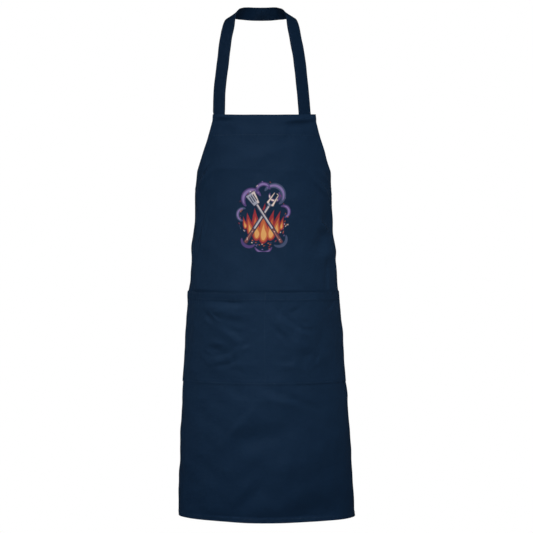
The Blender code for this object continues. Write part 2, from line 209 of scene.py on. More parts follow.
# Small soft slopes, in metres. tilt is the slope, above nought where it faces up.
SLOPES = (
    # across, down, length, width, turn, tilt
    (0.000, 0.014, 0.110, 0.030, 90, -0.17),
    (0.010, 0.046, 0.070, 0.022, 85, -0.26),
    (0.008, 0.072, 0.058, 0.011, 74, 0.20),
    (-0.108, 0.104, 0.022, 0.022, 60, 0.24),
    (-0.140, 0.126, 0.029, 0.008, 40, 0.51),
    (-0.132, 0.136, 0.026, 0.007, 40, -0.37),
    (0.140, 0.150, 0.033, 0.007, 130, 0.51),
    (0.150, 0.138, 0.024, 0.008, 130, -0.59),
    (0.128, 0.155, 0.025, 0.007, 130, -0.34),
    (0.143, 0.245, 0.018, 0.014, 108, -0.45),
    (0.145, 0.229, 0.016, 0.007, 120, 0.60),
    (0.142, 0.284, 0.024, 0.020, 60, 0.60),
    (0.152, 0.346, 0.026, 0.006, 5, 1.00),
    (-0.148, 0.256, 0.055, 0.006, 17, 0.90),
    (-0.088, 0.009, 0.024, 0.006, 90, -0.75),
    (0.078, 0.016, 0.036, 0.008, 86, -0.90),
    (-0.010, 0.318, 0.030, 0.022, 90, 0.06),
    (0.044, 0.308, 0.035, 0.016, 140, -0.30),
    (-0.060, 0.320, 0.030, 0.014, 20, -0.28),
    (-0.060, 0.654, 0.055, 0.008, 42, 0.51),
    (0.058, 0.606, 0.055, 0.011, 111, 0.37),
    (-0.004, 0.660, 0.050, 0.030, 80, -0.17),
    (-0.020, 0.705, 0.055, 0.030, 75, 0.15),
    (0.008, 0.735, 0.066, 0.027, 60, 0.14),
    (-0.040, 0.802, 0.050, 0.016, 43, -0.38),
    (0.105, 0.822, 0.075, 0.034, 80, -0.27),
    (0.110, 0.750, 0.110, 0.050, 62, -0.09),
    (-0.020, 0.846, 0.200, 0.018, 88, -0.08),
    (-0.140, 0.788, 0.044, 0.034, 40, 0.20),
)

# Creases of the folded pack: down, height, softness.
PACK_CREASES = ((0.116, 0.0014, 0.011), (0.604, 0.0007, 0.009))

waver = np.random.default_rng(11)
WAVES = [(waver.uniform(0, math.pi), waver.uniform(0.025, 0.090), waver.uniform(0, 6.28))
         for _ in range(16)]


def table_column(rows, column, keys):
    """Smooth values of one column of a table, at many keys."""
    at, values = rows[:, 0], rows[:, column]
    slopes = np.gradient(values, at)
    slopes[1:-1] = (values[2:] - values[:-2]) / (at[2:] - at[:-2])
    index = np.clip(np.searchsorted(at, keys, side="right") - 1, 0, len(at) - 2)
    width = at[index + 1] - at[index]
    t = np.clip((keys - at[index]) / width, 0, 1)
    start = values[index] * (1 + 2 * t) * (1 - t) ** 2 + slopes[index] * width * t * (1 - t) ** 2
    end = values[index + 1] * t * t * (3 - 2 * t) - slopes[index + 1] * width * t * t * (1 - t)
    return start + end


def ease(value, low, high):
    """Smooth step from 0 at low to 1 at high."""
    t = np.clip((value - low) / (high - low), 0, 1)
    return t * t * (3 - 2 * t)


def half_width(drop):
    """Half of the flat cloth's width at this drop."""
    share = np.clip(drop / ARMHOLE_DROP, 0, 1) ** ARMHOLE_HOLLOW
    return BIB_WIDTH / 2 + (APRON_WIDTH - BIB_WIDTH) / 2 * share


def torso_points(across, drop):
    """Points of the smooth torso form, for equal arrays of across and drop."""
    shape = across.shape
    across, drop = across.ravel(), drop.ravel()
    levels, where = np.unique(np.round(drop, 7), return_inverse=True)
    share = levels / APRON_LENGTH
    half = table_column(SECTIONS, 1, share) * BODY_WIDTH / 2
    front = table_column(SECTIONS, 2, share) * FRONT_DEPTH
    back = table_column(SECTIONS, 3, share) * BACK_DEPTH
    centre = table_column(SECTIONS, 4, share) * BODY_WIDTH / 2
    angle = SECTION_ANGLES
    x = np.empty(across.shape)
    y = np.empty(across.shape)
    order = np.argsort(where, kind="stable")
    bounds = np.searchsorted(where[order], np.arange(len(levels) + 1))
    for k in range(len(levels)):
        pick = order[bounds[k]:bounds[k + 1]]
        depth = np.where(angle <= math.pi / 2, front[k], back[k])
        px, py = half[k] * np.sin(angle), -depth * np.cos(angle)
        arcs = np.concatenate([[0], np.cumsum(np.hypot(np.diff(px), np.diff(py)))])
        reach = np.abs(across[pick])
        x[pick] = centre[k] + np.sign(across[pick]) * np.interp(reach, arcs, px)
        y[pick] = np.interp(reach, arcs, py) - SIDE_FORWARD
    corner = (np.abs(across) / (BIB_WIDTH / 2)) ** 2 * (1 - ease(drop, 0, 2 * BIB_HEM))
    foot = ease(-across, 0, APRON_WIDTH / 3) * ease(drop / APRON_LENGTH, 0.85, 1.0)
    z = -NECK_DROP - drop + CORNER_LIFT * corner + HEM_RISE_LEFT * foot
    return np.stack([x, y, z], axis=1).reshape(shape + (3,))


def slanted(across, drop, at, down, turn):
    """Run along and offset from a slanting line through one place on the cloth."""
    lean = math.radians(turn)
    side, along = across - at, drop - down
    run = along * math.cos(lean) - side * math.sin(lean)
    return run, along * math.sin(lean) + side * math.cos(lean)


def slopes_height(rows, across, drop):
    """Height of a table of small soft slopes."""
    height = np.zeros_like(across)
    for at, down, length, width, turn, tilt in rows:
        run, off = slanted(across, drop, at, down, turn)
        height += tilt * off * np.exp(-(run / length) ** 2 - (off / width) ** 2)
    return height


def relief(across, drop):
    """Height of folds, flutes, creases and puckers above the torso form."""
    half = APRON_WIDTH / 2
    height = np.zeros_like(across)
    for at, down, length, width, turn, share in FOLDS:
        run, off = slanted(across, drop, at * half, down * APRON_LENGTH, turn)
        size = (run / (length * APRON_LENGTH)) ** 2 + (off / (width * half)) ** 2
        height += share * FOLD_HEIGHT * np.exp(-size)
    grow = ease(drop, ARMHOLE_DROP, APRON_LENGTH)
    free = 0.20 + 0.80 * ease(np.abs(across), 0.5 * half, half)
    height += HEM_FLUTE * grow * free * np.sin(2 * math.pi * np.abs(across) / FLUTE_PITCH + 0.6)
    height += slopes_height(SLOPES, across, drop)
    for down, crest, soft in PACK_CREASES:
        off = drop - down - 0.002 * np.sin(across * 19.0)
        height += crest * np.exp(-np.sqrt((off / soft) ** 2 + 0.02))
    crease = np.exp(-np.sqrt((across / 0.004) ** 2 + 0.05)) * ease(drop, 0.26, 0.33)
    height += MIDDLE_CREASE * crease * (1 - ease(drop, POCKET_DROP, POCKET_DROP + 0.02))
    for turn, pitch, start in WAVES:
        run = across * math.cos(turn) + drop * math.sin(turn)
        height += WAVE_HEIGHT * (pitch / 0.05) * np.sin(2 * math.pi * run / pitch + start)
    behind = ease(drop, POCKET_DROP - 0.0050, POCKET_DROP + 0.0005)
    behind = behind * (1 - ease(np.abs(across), 0.150, 0.205))
    behind *= (0.30 + 0.90 * np.exp(-((across + 0.145) / 0.035) ** 2)
               + 0.60 * np.exp(-((across - 0.043) / 0.040) ** 2))
    height -= MOUTH_STEP * behind * (1 - ease(drop, POCKET_DROP + 0.010, POCKET_DROP + 0.080))
    edge = half_width(drop)
    pull = np.sin(np.abs(across) * 520.0 + 3.0 * np.sin(across * 90.0))
    height += BIB_PUCKER * pull * np.exp(-((drop - BIB_HEM) / PUCKER_REACH) ** 2)
    from_foot = drop - APRON_LENGTH + BOTTOM_HEM
    height += HEM_PUCKER * pull * np.exp(-(from_foot / PUCKER_REACH) ** 2)
    pull = np.sin(drop * 480.0 + 3.0 * np.sin(drop * 70.0))
    from_side = np.abs(across) - edge + SIDE_HEM
    height += HEM_PUCKER * pull * np.exp(-(from_side / PUCKER_REACH) ** 2)
    band = ease(drop, APRON_LENGTH - BOTTOM_HEM - 0.003, APRON_LENGTH - BOTTOM_HEM + 0.002)
    middle = 1 - ease(np.abs(across), 0.090, 0.170)
    height -= FOOT_TUCK * middle * ease(drop, 0.790, APRON_LENGTH) ** 2
    above = np.exp(-((drop - APRON_LENGTH + 0.0125) / 0.003) ** 2)
    return height + (0.25 + 0.75 * middle) * (HEM_BAND * band - HEM_DIP * above)


def unit(vectors):
    """The same vectors, one long."""
    return vectors / np.linalg.norm(vectors, axis=-1, keepdims=True)


def outward(place, across, drop, step):
    """Outward unit normals of a surface that a function lays out."""
    level = place(across + step, drop) - place(across - step, drop)
    fall = place(across, drop + step) - place(across, drop - step)
    return unit(np.cross(fall, level))


def cloth_points(across, drop):
    """Points of the outer face of the cloth."""
    normal = outward(torso_points, across, drop, TORSO_STEP)
    return torso_points(across, drop) + normal * relief(across, drop)[..., None]


def lay(across, drop, *lifts):
    """Points at one or more lifts above the outer face of the cloth."""
    across, drop = np.broadcast_arrays(np.asarray(across, float), np.asarray(drop, float))
    normal = outward(cloth_points, across, drop, CLOTH_STEP)
    base = cloth_points(across, drop)
    faces = [base + normal * np.asarray(lift)[..., None] for lift in lifts]
    return faces if len(faces) > 1 else faces[0]


def write_uv(mesh, flat):
    """Give each point's flat place to a mesh as its UV map."""
    uv = mesh.uv_layers.new(name="cloth")
    corners = np.empty(len(mesh.loops), dtype=np.int32)
    mesh.loops.foreach_get("vertex_index", corners)
    uv.data.foreach_set("uv", flat[corners].astype(np.float32).ravel())


def closed_sheet(name, outer, inner, flat, material):
    """Closed sheet between two grids of points, with its flat place as its UV map."""
    rows, columns = outer.shape[:2]
    count = rows * columns
    points = np.concatenate([outer.reshape(-1, 3), inner.reshape(-1, 3)])
    index = np.arange(count).reshape(rows, columns)
    a, b, c, d = index[:-1, :-1], index[1:, :-1], index[1:, 1:], index[:-1, 1:]
    front = np.stack([a, b, c, d], axis=-1).reshape(-1, 4)
    back = np.stack([a, d, c, b], axis=-1).reshape(-1, 4) + count
    rim = np.concatenate([index[:, 0], index[-1, 1:], index[-2::-1, -1], index[0, -2:0:-1]])
    after = np.roll(rim, -1)
    wall = np.stack([rim, rim + count, after + count, after], axis=-1)
    faces = np.concatenate([front, back, wall])
    mesh = bpy.data.meshes.new(name)
    mesh.from_pydata(points.tolist(), [], faces.tolist())
    write_uv(mesh, np.concatenate([flat.reshape(-1, 2)] * 2))
    mesh.shade_smooth()
    mesh.set_sharp_from_angle(angle=math.radians(50))
    mesh.materials.append(material)
    return add_object(name, mesh)


def make_group(name, inputs, outputs):
    """Empty shader node group with its sockets and its two end nodes."""
    group = bpy.data.node_groups.new(name, "ShaderNodeTree")
    for label, kind, value in inputs:
        socket = group.interface.new_socket(label, in_out="INPUT", socket_type=kind)
        if value is not None:
            socket.default_value = value
    for label, kind in outputs:
        group.interface.new_socket(label, in_out="OUTPUT", socket_type=kind)
    return group, group.nodes.new("NodeGroupInput"), group.nodes.new("NodeGroupOutput")


def math_node(tree, operation, first, second=None):
    """Math node fed by sockets or numbers; gives its output socket."""
    node = tree.nodes.new("ShaderNodeMath")
    node.operation = operation
    for socket, value in zip(node.inputs, (first, second)):
        if value is None:
            continue
        if isinstance(value, (int, float)):
            socket.default_value = value
        else:
            tree.links.new(value, socket)
    return node.outputs[0]


def add_bump(tree, height, strength, distance, normal=None):
    """Bump node on a height, over another normal if given; gives its normal socket."""
    bump = tree.nodes.new("ShaderNodeBump")
    set_inputs(bump, {"Strength": strength, "Distance": distance})
    tree.links.new(height, bump.inputs["Height"])
    if normal is not None:
        tree.links.new(normal, bump.inputs["Normal"])
    return bump.outputs["Normal"]


def add_mix(tree, factor, first, second):
    """Colour mix of two colours or sockets; gives its result socket."""
    mix = tree.nodes.new("ShaderNodeMix")
    mix.data_type = "RGBA"
    for label, value in (("A", first), ("B", second)):
        if isinstance(value, tuple):
            mix.inputs[label].default_value = value
        else:
            tree.links.new(value, mix.inputs[label])
    tree.links.new(factor, mix.inputs["Factor"])
    return mix.outputs["Result"]


def make_twill_group():
    """Twill weave from the cloth's own UV map: slanting wales crossed by yarns."""
    group, source, end = make_group(
        "twill_weave",
        [("Cloth", "NodeSocketVector", None), ("Wale", "NodeSocketFloat", WALE),
         ("Yarn", "NodeSocketFloat", WALE / 2)],
        [("Height", "NodeSocketFloat"), ("Fleck", "NodeSocketFloat"),
         ("Mottle", "NodeSocketFloat")])
    links = group.links
    split = group.nodes.new("ShaderNodeSeparateXYZ")
    links.new(source.outputs["Cloth"], split.inputs[0])
    across, down = split.outputs[0], split.outputs[1]
    slub = group.nodes.new("ShaderNodeTexNoise")
    set_inputs(slub, {"Scale": 900.0, "Detail": 1.0})
    links.new(source.outputs["Cloth"], slub.inputs["Vector"])
    warp = math_node(group, "MULTIPLY", slub.outputs["Fac"], 1.6)
    slant = math_node(group, "ADD", across, math_node(group, "MULTIPLY", down, 0.75))
    ridges = []
    for way, pitch, share in ((slant, "Wale", 0.32), (down, "Yarn", 0.18)):
        turns = math_node(group, "DIVIDE", way, source.outputs[pitch])
        phase = math_node(group, "ADD", math_node(group, "MULTIPLY", turns, 2 * math.pi), warp)
        ridges.append(math_node(group, "MULTIPLY", math_node(group, "SINE", phase), share))
    height = math_node(group, "ADD", *ridges)
    links.new(math_node(group, "ADD", height, 0.5), end.inputs["Height"])
    links.new(slub.outputs["Fac"], end.inputs["Fleck"])
    mottle = group.nodes.new("ShaderNodeTexNoise")
    set_inputs(mottle, {"Scale": 26.0, "Detail": 4.0, "Roughness": 0.62})
    links.new(source.outputs["Cloth"], mottle.inputs["Vector"])
    links.new(mottle.outputs["Fac"], end.inputs["Mottle"])
    return group


twill_group = make_twill_group()


def add_weave(tree, wale):
    """Flat place on the cloth and the weave there: a UV node and a weave node."""
    place = tree.nodes.new("ShaderNodeUVMap")
    place.uv_map = "cloth"
    weave = tree.nodes.new("ShaderNodeGroup")
    weave.node_tree = twill_group
    set_inputs(weave, {"Wale": wale, "Yarn": wale / 2})
    tree.links.new(place.outputs["UV"], weave.inputs["Cloth"])
    return place, weave


def twill_material(name, colour, pale, wale, wear_and_painted_shade=0.0):
    """Dyed twill: weave relief, flecked yarn, and painted shade that leaves the cloth palest at the
    belly and darker towards the bib top and the foot.
    """
    material, tree, shader = new_material(name)
    material.diffuse_color = colour
    place, weave = add_weave(tree, wale)
    spread = math_node(tree, "MULTIPLY", weave.outputs["Mottle"], 0.50)
    fleck = math_node(tree, "MULTIPLY", weave.outputs["Fleck"], 0.50)
    paleness = math_node(tree, "ADD", spread, fleck)
    thread = math_node(tree, "MULTIPLY", weave.outputs["Height"], 0.35)
    split = tree.nodes.new("ShaderNodeSeparateXYZ")
    tree.links.new(place.outputs["UV"], split.inputs[0])
    # Painted shade: the cloth is darkened more the farther it lies above or below the belly,
    # standing in for the light falling off towards the bib top and the foot; the same strength also
    # lifts the paleness of the whole sheet.
    away = math_node(tree, "DIVIDE", math_node(tree, "SUBTRACT", split.outputs[1], 0.37), 0.46)
    taken = math_node(tree, "MULTIPLY", math_node(tree, "MULTIPLY", away, away), wear_and_painted_shade)
    thread = math_node(tree, "SUBTRACT", thread, taken)
    paleness = math_node(tree, "SUBTRACT", math_node(tree, "ADD", paleness, thread), 0.15 - 0.32 * wear_and_painted_shade)
    tree.links.new(add_mix(tree, paleness, colour, pale), shader.inputs["Base Color"])
    rough_tone = math_node(tree, "MULTIPLY", weave.outputs["Fleck"], 0.12)
    tree.links.new(math_node(tree, "ADD", rough_tone, 0.50), shader.inputs["Roughness"])
    rumple = add_bump(tree, weave.outputs["Mottle"], 0.8, 0.0030)
    tree.links.new(add_bump(tree, weave.outputs["Height"], 0.55, 0.00018, rumple),
                   shader.inputs["Normal"])
    set_inputs(shader, {"Specular IOR Level": 0.085, "Specular Tint": (0.55, 0.75, 1.0, 1),
                        "Sheen Weight": 0.02, "Sheen Roughness": 0.45,
                        "Sheen Tint": (0.45, 0.60, 0.85, 1)})
    return material


def spaced(breaks, step, fine=(), reach=0.005):
    """Values about a step apart, closer together near the fine ones."""
    values = []
    for low, high in zip(breaks, breaks[1:]):
        count = max(1, round((high - low) / step))
        values.extend(np.linspace(low, high, count + 1)[:-1])
    values.append(breaks[-1])
    for centre in fine:
        values.extend(np.arange(centre - reach, centre + reach, FINE_STEP))
    values = np.array(sorted(v for v in values if breaks[0] <= v <= breaks[-1]))
    keep = np.concatenate([[True], np.diff(values) > 0.4 * FINE_STEP])
    keep[-1] = True
    values = values[keep]
    values[0], values[-1] = breaks[0], breaks[-1]
    return values


def side_lines(share, drop):
    """Across where 1 is the inner line of the side hem and 2 the edge."""
    inner = half_width(drop) - SIDE_HEM
    reach = inner * np.minimum(np.abs(share), 1) + SIDE_HEM * np.maximum(np.abs(share) - 1, 0)
    return np.sign(share) * reach


def cloth_grid(shares, drops):
    """Across and drop of each point of a sheet on the cloth."""
    share, drop = np.meshgrid(shares, drops)
    return side_lines(share, drop), drop


cloth_columns = np.concatenate([np.linspace(-2, -1, 4)[:-1], np.linspace(-1, 1, 147),
                                np.linspace(1, 2, 4)[1:]])
cloth_rows = spaced([0, BIB_HEM, ARMHOLE_DROP, POCKET_DROP, APRON_LENGTH - BOTTOM_HEM,
                     APRON_LENGTH], 0.0046,
                    fine=(0.012, BIB_HEM, 0.116, POCKET_DROP - 0.002, 0.604,
                          APRON_LENGTH - BOTTOM_HEM))
NAVY = (0.0041, 0.0126, 0.0301, 1)
NAVY_PALE = (0.0066, 0.0176, 0.0385, 1)
# Body cloth with painted shade, darker towards the bib top and the foot.
body_cloth = twill_material("navy_body_twill", NAVY, NAVY_PALE, WALE, wear_and_painted_shade=0.85)
across, drop = cloth_grid(cloth_columns, cloth_rows)
outer, inner = lay(across, drop, 0.0, -CLOTH)
apron_cloth = closed_sheet("apron_cloth", outer, inner, np.stack([across, drop], -1), body_cloth)
cloth_face = outer
levels = np.linspace(0, APRON_LENGTH, 800)
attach(apron_cloth, "root")
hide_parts("body_panel")

# The turned hems: the edges of the same cloth, folded in once and stitched down:
# deep behind the bib top, narrow along the armholes, the sides and the foot.
hem_cloth = twill_material("navy_hem_twill", NAVY, NAVY_PALE, WALE)


def turned_hem(name, shares, drops):
    """A strip of cloth that lies close behind the edge."""
    grid_across, grid_drop = cloth_grid(shares, drops)
    high = -CLOTH - SEAM_GAP
    faces = lay(grid_across, grid_drop, high, high - CLOTH)
    flat = np.stack([grid_across, -grid_drop], -1)
    hem = closed_sheet(name + "_cloth", *faces, flat, hem_cloth)
    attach(hem, "root")
    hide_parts(name)


left_hem = np.linspace(-1.97, -1, 4)
right_hem = np.linspace(1, 1.97, 4)
between = np.linspace(-0.992, 0.992, 110)
turned_hem("bib_hem", between, spaced([0.0004, BIB_HEM], 0.0014))
turned_hem("bottom_hem", between, np.linspace(APRON_LENGTH - BOTTOM_HEM, APRON_LENGTH - 0.0003, 4))
armhole_drops = spaced([0.0003, ARMHOLE_DROP], 0.005)
side_drops = spaced([ARMHOLE_DROP + 0.0003, APRON_LENGTH - 0.0003], 0.005)
turned_hem("armhole_hem_left", left_hem, armhole_drops)
turned_hem("armhole_hem_right", right_hem, armhole_drops)
turned_hem("side_hem_left", left_hem, side_drops)
turned_hem("side_hem_right", right_hem, side_drops)

# Topstitching of the body: one line of polyester thread a shade lighter than the
# cloth, all round the turned hems, with its lower thread showing at the back.
STITCH_PITCH = 0.0033
STITCH_LENGTH = 0.0026
THREAD_WIDTH = 0.00046
STITCH_LIFT = 0.00005


def thread_material(name, colour, pale):
    """Spun thread: a twist along each stitch and a slightly uneven tone."""
    material, tree, shader = new_material(name)
    material.diffuse_color = colour
    place = tree.nodes.new("ShaderNodeTexCoord")
    tone = tree.nodes.new("ShaderNodeTexNoise")
    set_inputs(tone, {"Scale": 700.0, "Detail": 2.0})
    tree.links.new(place.outputs["Object"], tone.inputs["Vector"])
    tree.links.new(add_mix(tree, tone.outputs["Fac"], colour, pale), shader.inputs["Base Color"])
    twist = tree.nodes.new("ShaderNodeTexWave")
    twist.bands_direction = "DIAGONAL"
    twist.inputs["Scale"].default_value = 1400.0
    tree.links.new(place.outputs["Object"], twist.inputs["Vector"])
    tree.links.new(add_bump(tree, twist.outputs["Fac"], 0.4, 0.0001), shader.inputs["Normal"])
    set_inputs(shader, {"Roughness": 0.62, "Specular IOR Level": 0.3})
    return material


def make_stitch_tree(material):
    """Node tree that puts one arched stitch at each marked point of a mesh."""
    tree = bpy.data.node_groups.new("topstitch", "GeometryNodeTree")
    tree.interface.new_socket("Geometry", in_out="INPUT", socket_type="NodeSocketGeometry")
    for label in ("Stitch Length", "Thread Width"):
        tree.interface.new_socket(label, in_out="INPUT", socket_type="NodeSocketFloat")
    tree.interface.new_socket("Seed", in_out="INPUT", socket_type="NodeSocketInt")
    tree.interface.new_socket("Geometry", in_out="OUTPUT", socket_type="NodeSocketGeometry")
    nodes, links = tree.nodes, tree.links
    source, end = nodes.new("NodeGroupInput"), nodes.new("NodeGroupOutput")
    half = math_node(tree, "MULTIPLY", source.outputs["Stitch Length"], 0.5)
    back = math_node(tree, "MULTIPLY", half, -1.0)
    dip = math_node(tree, "MULTIPLY", source.outputs["Thread Width"], -0.45)
    rise = math_node(tree, "MULTIPLY", source.outputs["Thread Width"], 0.95)
    arch = nodes.new("GeometryNodeCurveQuadraticBezier")
    arch.inputs["Resolution"].default_value = 5
    for socket, x, z in (("Start", back, dip), ("Middle", None, rise), ("End", half, dip)):
        join = nodes.new("ShaderNodeCombineXYZ")
        if x is not None:
            links.new(x, join.inputs["X"])
        links.new(z, join.inputs["Z"])
        links.new(join.outputs[0], arch.inputs[socket])
    ring = nodes.new("GeometryNodeCurvePrimitiveCircle")
    ring.inputs["Resolution"].default_value = 5
    links.new(math_node(tree, "MULTIPLY", source.outputs["Thread Width"], 0.5),
              ring.inputs["Radius"])
    thread = nodes.new("GeometryNodeCurveToMesh")
    thread.inputs["Fill Caps"].default_value = True
    links.new(arch.outputs["Curve"], thread.inputs["Curve"])
    links.new(ring.outputs["Curve"], thread.inputs["Profile Curve"])
    turns = []
    for label, axis in (("stitch_way", "X"), ("stitch_face", "Z")):
        way = nodes.new("GeometryNodeInputNamedAttribute")
        way.data_type = "FLOAT_VECTOR"
        way.inputs["Name"].default_value = label
        turn = nodes.new("FunctionNodeAlignRotationToVector")
        turn.axis = axis
        if axis == "Z":
            turn.pivot_axis = "X"
            links.new(turns[-1].outputs["Rotation"], turn.inputs["Rotation"])
        links.new(way.outputs["Attribute"], turn.inputs["Vector"])
        turns.append(turn)
    vary = nodes.new("FunctionNodeRandomValue")
    vary.data_type = "FLOAT_VECTOR"
    vary.inputs["Min"].default_value = (0.90, 0.88, 0.85)
    vary.inputs["Max"].default_value = (1.08, 1.10, 1.15)
    links.new(source.outputs["Seed"], vary.inputs["Seed"])
    place = nodes.new("GeometryNodeInstanceOnPoints")
    links.new(source.outputs["Geometry"], place.inputs["Points"])
    links.new(thread.outputs["Mesh"], place.inputs["Instance"])
    links.new(turns[-1].outputs["Rotation"], place.inputs["Rotation"])
    links.new(vary.outputs["Value"], place.inputs["Scale"])
    solid = nodes.new("GeometryNodeRealizeInstances")
    links.new(place.outputs["Instances"], solid.inputs["Geometry"])
    smooth = nodes.new("GeometryNodeSetShadeSmooth")
    links.new(solid.outputs["Geometry"], smooth.inputs["Geometry"])
    paint = nodes.new("GeometryNodeSetMaterial")
    paint.inputs["Material"].default_value = material
    links.new(smooth.outputs["Geometry"], paint.inputs["Geometry"])
    links.new(paint.outputs["Geometry"], end.inputs["Geometry"])
    return tree


def path_lengths(points):
    """Length along a row of points, from nought at the first."""
    return np.concatenate([[0], np.cumsum(np.linalg.norm(np.diff(points, axis=0), axis=1))])


def along_line(across, drop, lift=0.0, pitch=STITCH_PITCH, place=lay):
    """Evenly spaced points of a line on the cloth: places, ways and faces."""
    lengths = path_lengths(place(across, drop, lift))
    count = max(2, int(lengths[-1] / pitch))
    at = (np.arange(count) + 0.5) * lengths[-1] / count
    a, d = np.interp(at, lengths, across), np.interp(at, lengths, drop)
    here = place(a, d, lift)
    up = place(a, d, lift + 0.001 * (1 if lift >= 0 else -1)) - here
    step = 0.0008
    da = np.interp(at + step, lengths, across) - np.interp(at - step, lengths, across)
    dd = np.interp(at + step, lengths, drop) - np.interp(at - step, lengths, drop)
    way = place(a + da / 2, d + dd / 2, lift) - place(a - da / 2, d - dd / 2, lift)
    return here, way, up


def sew(name, lines, material, tree, seed):
    """One mesh of stitches along several lines."""
    here, way, up = (np.concatenate(part) for part in zip(*lines))
    way, up = unit(way), unit(up)
    marks = bpy.data.meshes.new(name + "_marks")
    marks.from_pydata(here.tolist(), [], [])
    for label, values in (("stitch_way", way), ("stitch_face", up)):
        data = marks.attributes.new(label, "FLOAT_VECTOR", "POINT")
        data.data.foreach_set("vector", values.astype(np.float32).ravel())
    holder = add_object(name + "_marks", marks)
    modifier = holder.modifiers.new("topstitch", "NODES")
    modifier.node_group = tree
    values = {"Stitch Length": STITCH_LENGTH, "Thread Width": THREAD_WIDTH, "Seed": seed}
    for socket in tree.interface.items_tree:
        if socket.in_out == "INPUT" and socket.name in values:
            modifier[socket.identifier] = values[socket.name]
    graph = bpy.context.evaluated_depsgraph_get()
    mesh = bpy.data.meshes.new_from_object(holder.evaluated_get(graph), depsgraph=graph)
    bpy.data.objects.remove(holder, do_unlink=True)
    mesh.name = name
    mesh.materials.clear()
    mesh.materials.append(material)
    return add_object(name, mesh)


THREAD = (0.0066, 0.0182, 0.0400, 1)
THREAD_PALE = (0.0105, 0.0250, 0.0510, 1)
navy_thread = thread_material("navy_thread", THREAD, THREAD_PALE)
stitch_tree = make_stitch_tree(navy_thread)
SIDE_STITCH = 0.0095
HEM_STITCH_DIP = 0.0010
body_lines = []
back = -2 * CLOTH - SEAM_GAP
for lift in (STITCH_LIFT, back - STITCH_LIFT):
    line = np.linspace(-1, 1, 80)
    reach = half_width(BIB_HEM) - SIDE_HEM
    body_lines.append(along_line(line * reach, BIB_HEM - 0.0016 + HEM_STITCH_DIP * line ** 2, lift))
    body_lines.append(along_line(line * (APRON_WIDTH / 2 - 0.004),
                                 np.full(80, APRON_LENGTH - BOTTOM_HEM + 0.0018), lift))
    levels = np.linspace(0.004, APRON_LENGTH - 0.004, 300)
    for side in (-1, 1):
        body_lines.append(along_line(side * (half_width(levels) - SIDE_STITCH), levels, lift))
body_stitches = sew("body_stitches", body_lines, navy_thread, stitch_tree, 3)
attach(body_stitches, "root")

# The print: one soft film of ink on the middle of the bib, with a grill fork and
# a turner crossed over flames, curls of smoke and sparks, in muted colours.
PRINT_HALF_WIDTH = 0.059
PRINT_HALF_HEIGHT = 0.077
PRINT_DROP = 0.2126
PRINT_STEP = 0.0006
INK_LIFT = 0.00012

u, v = np.meshgrid(np.arange(-PRINT_HALF_WIDTH, PRINT_HALF_WIDTH, PRINT_STEP),
                   np.arange(-PRINT_HALF_HEIGHT, PRINT_HALF_HEIGHT, PRINT_STEP))
mm = np.stack([u, -v], -1) * 1000
ink = np.zeros(u.shape + (3,)) + np.array(NAVY[:3]) * 1.15
cover = np.zeros(u.shape)


def paint(distance, colour, soft=0.55, strength=1.0):
    """Lay a colour where the distance in mm is below nought."""
    global ink, cover
    part = strength * ease(-distance, -soft, soft)
    colour = np.broadcast_to(np.asarray(colour, float), ink.shape)
    ink = ink * (1 - part[..., None]) + colour * part[..., None]
    cover = np.maximum(cover, part)


def bar(start, end, thick, thin=None):
    """Distance to a round-ended bar that may taper."""
    start, end = np.array(start, float), np.array(end, float)
    way = end - start
    share = np.clip(((mm - start) @ way) / max(way @ way, 1e-6), 0, 1)
    reach = np.linalg.norm(mm - start - share[..., None] * way, axis=-1)
    return reach - thick - ((thick if thin is None else thin) - thick) * share


def curl(centre, radius, start, sweep, thick):
    """Distance to an arc that swells in its middle, with angles in degrees."""
    place = mm - np.array(centre, float)
    angle = np.degrees(np.arctan2(place[..., 1], place[..., 0]))
    share = ((angle - start) * math.copysign(1, sweep) % 360) / abs(sweep)
    inside = np.clip(share, 0, 1)
    swell = thick * np.sqrt(np.clip(4 * inside * (1 - inside), 0, 1)) + 0.05
    away = np.abs(np.hypot(place[..., 0], place[..., 1]) - radius)
    return np.where(share <= 1, away - swell, 9.0)


def flame(x, y, height, width, lean):
    """Distance to a pointed tongue of flame on a round base."""
    share = np.clip((mm[..., 1] - y) / height, -0.2, 1.0)
    body = np.where(share < 0.3, np.sqrt(np.clip(1 - ((share - 0.3) / 0.42) ** 2, 0, 1)),
                    np.clip((1 - share) / 0.7, 0, 1) ** 1.15)
    middle = x + lean * np.clip(share, 0, 1) ** 2 + 0.10 * width * np.sin(7 * share)
    outside = np.maximum(mm[..., 1] - y - height, y - 0.12 * height - mm[..., 1])
    return np.maximum(np.abs(mm[..., 0] - middle) - width * body, outside)


LILAC, PURPLE, SLATE = (0.200, 0.140, 0.310), (0.075, 0.045, 0.150), (0.050, 0.066, 0.125)
CREAM, STEEL, SHADE = (0.640, 0.520, 0.450), (0.270, 0.280, 0.340), (0.020, 0.024, 0.050)
RED, EMBER, GOLD = (0.260, 0.024, 0.028), (0.430, 0.105, 0.035), (0.600, 0.300, 0.095)

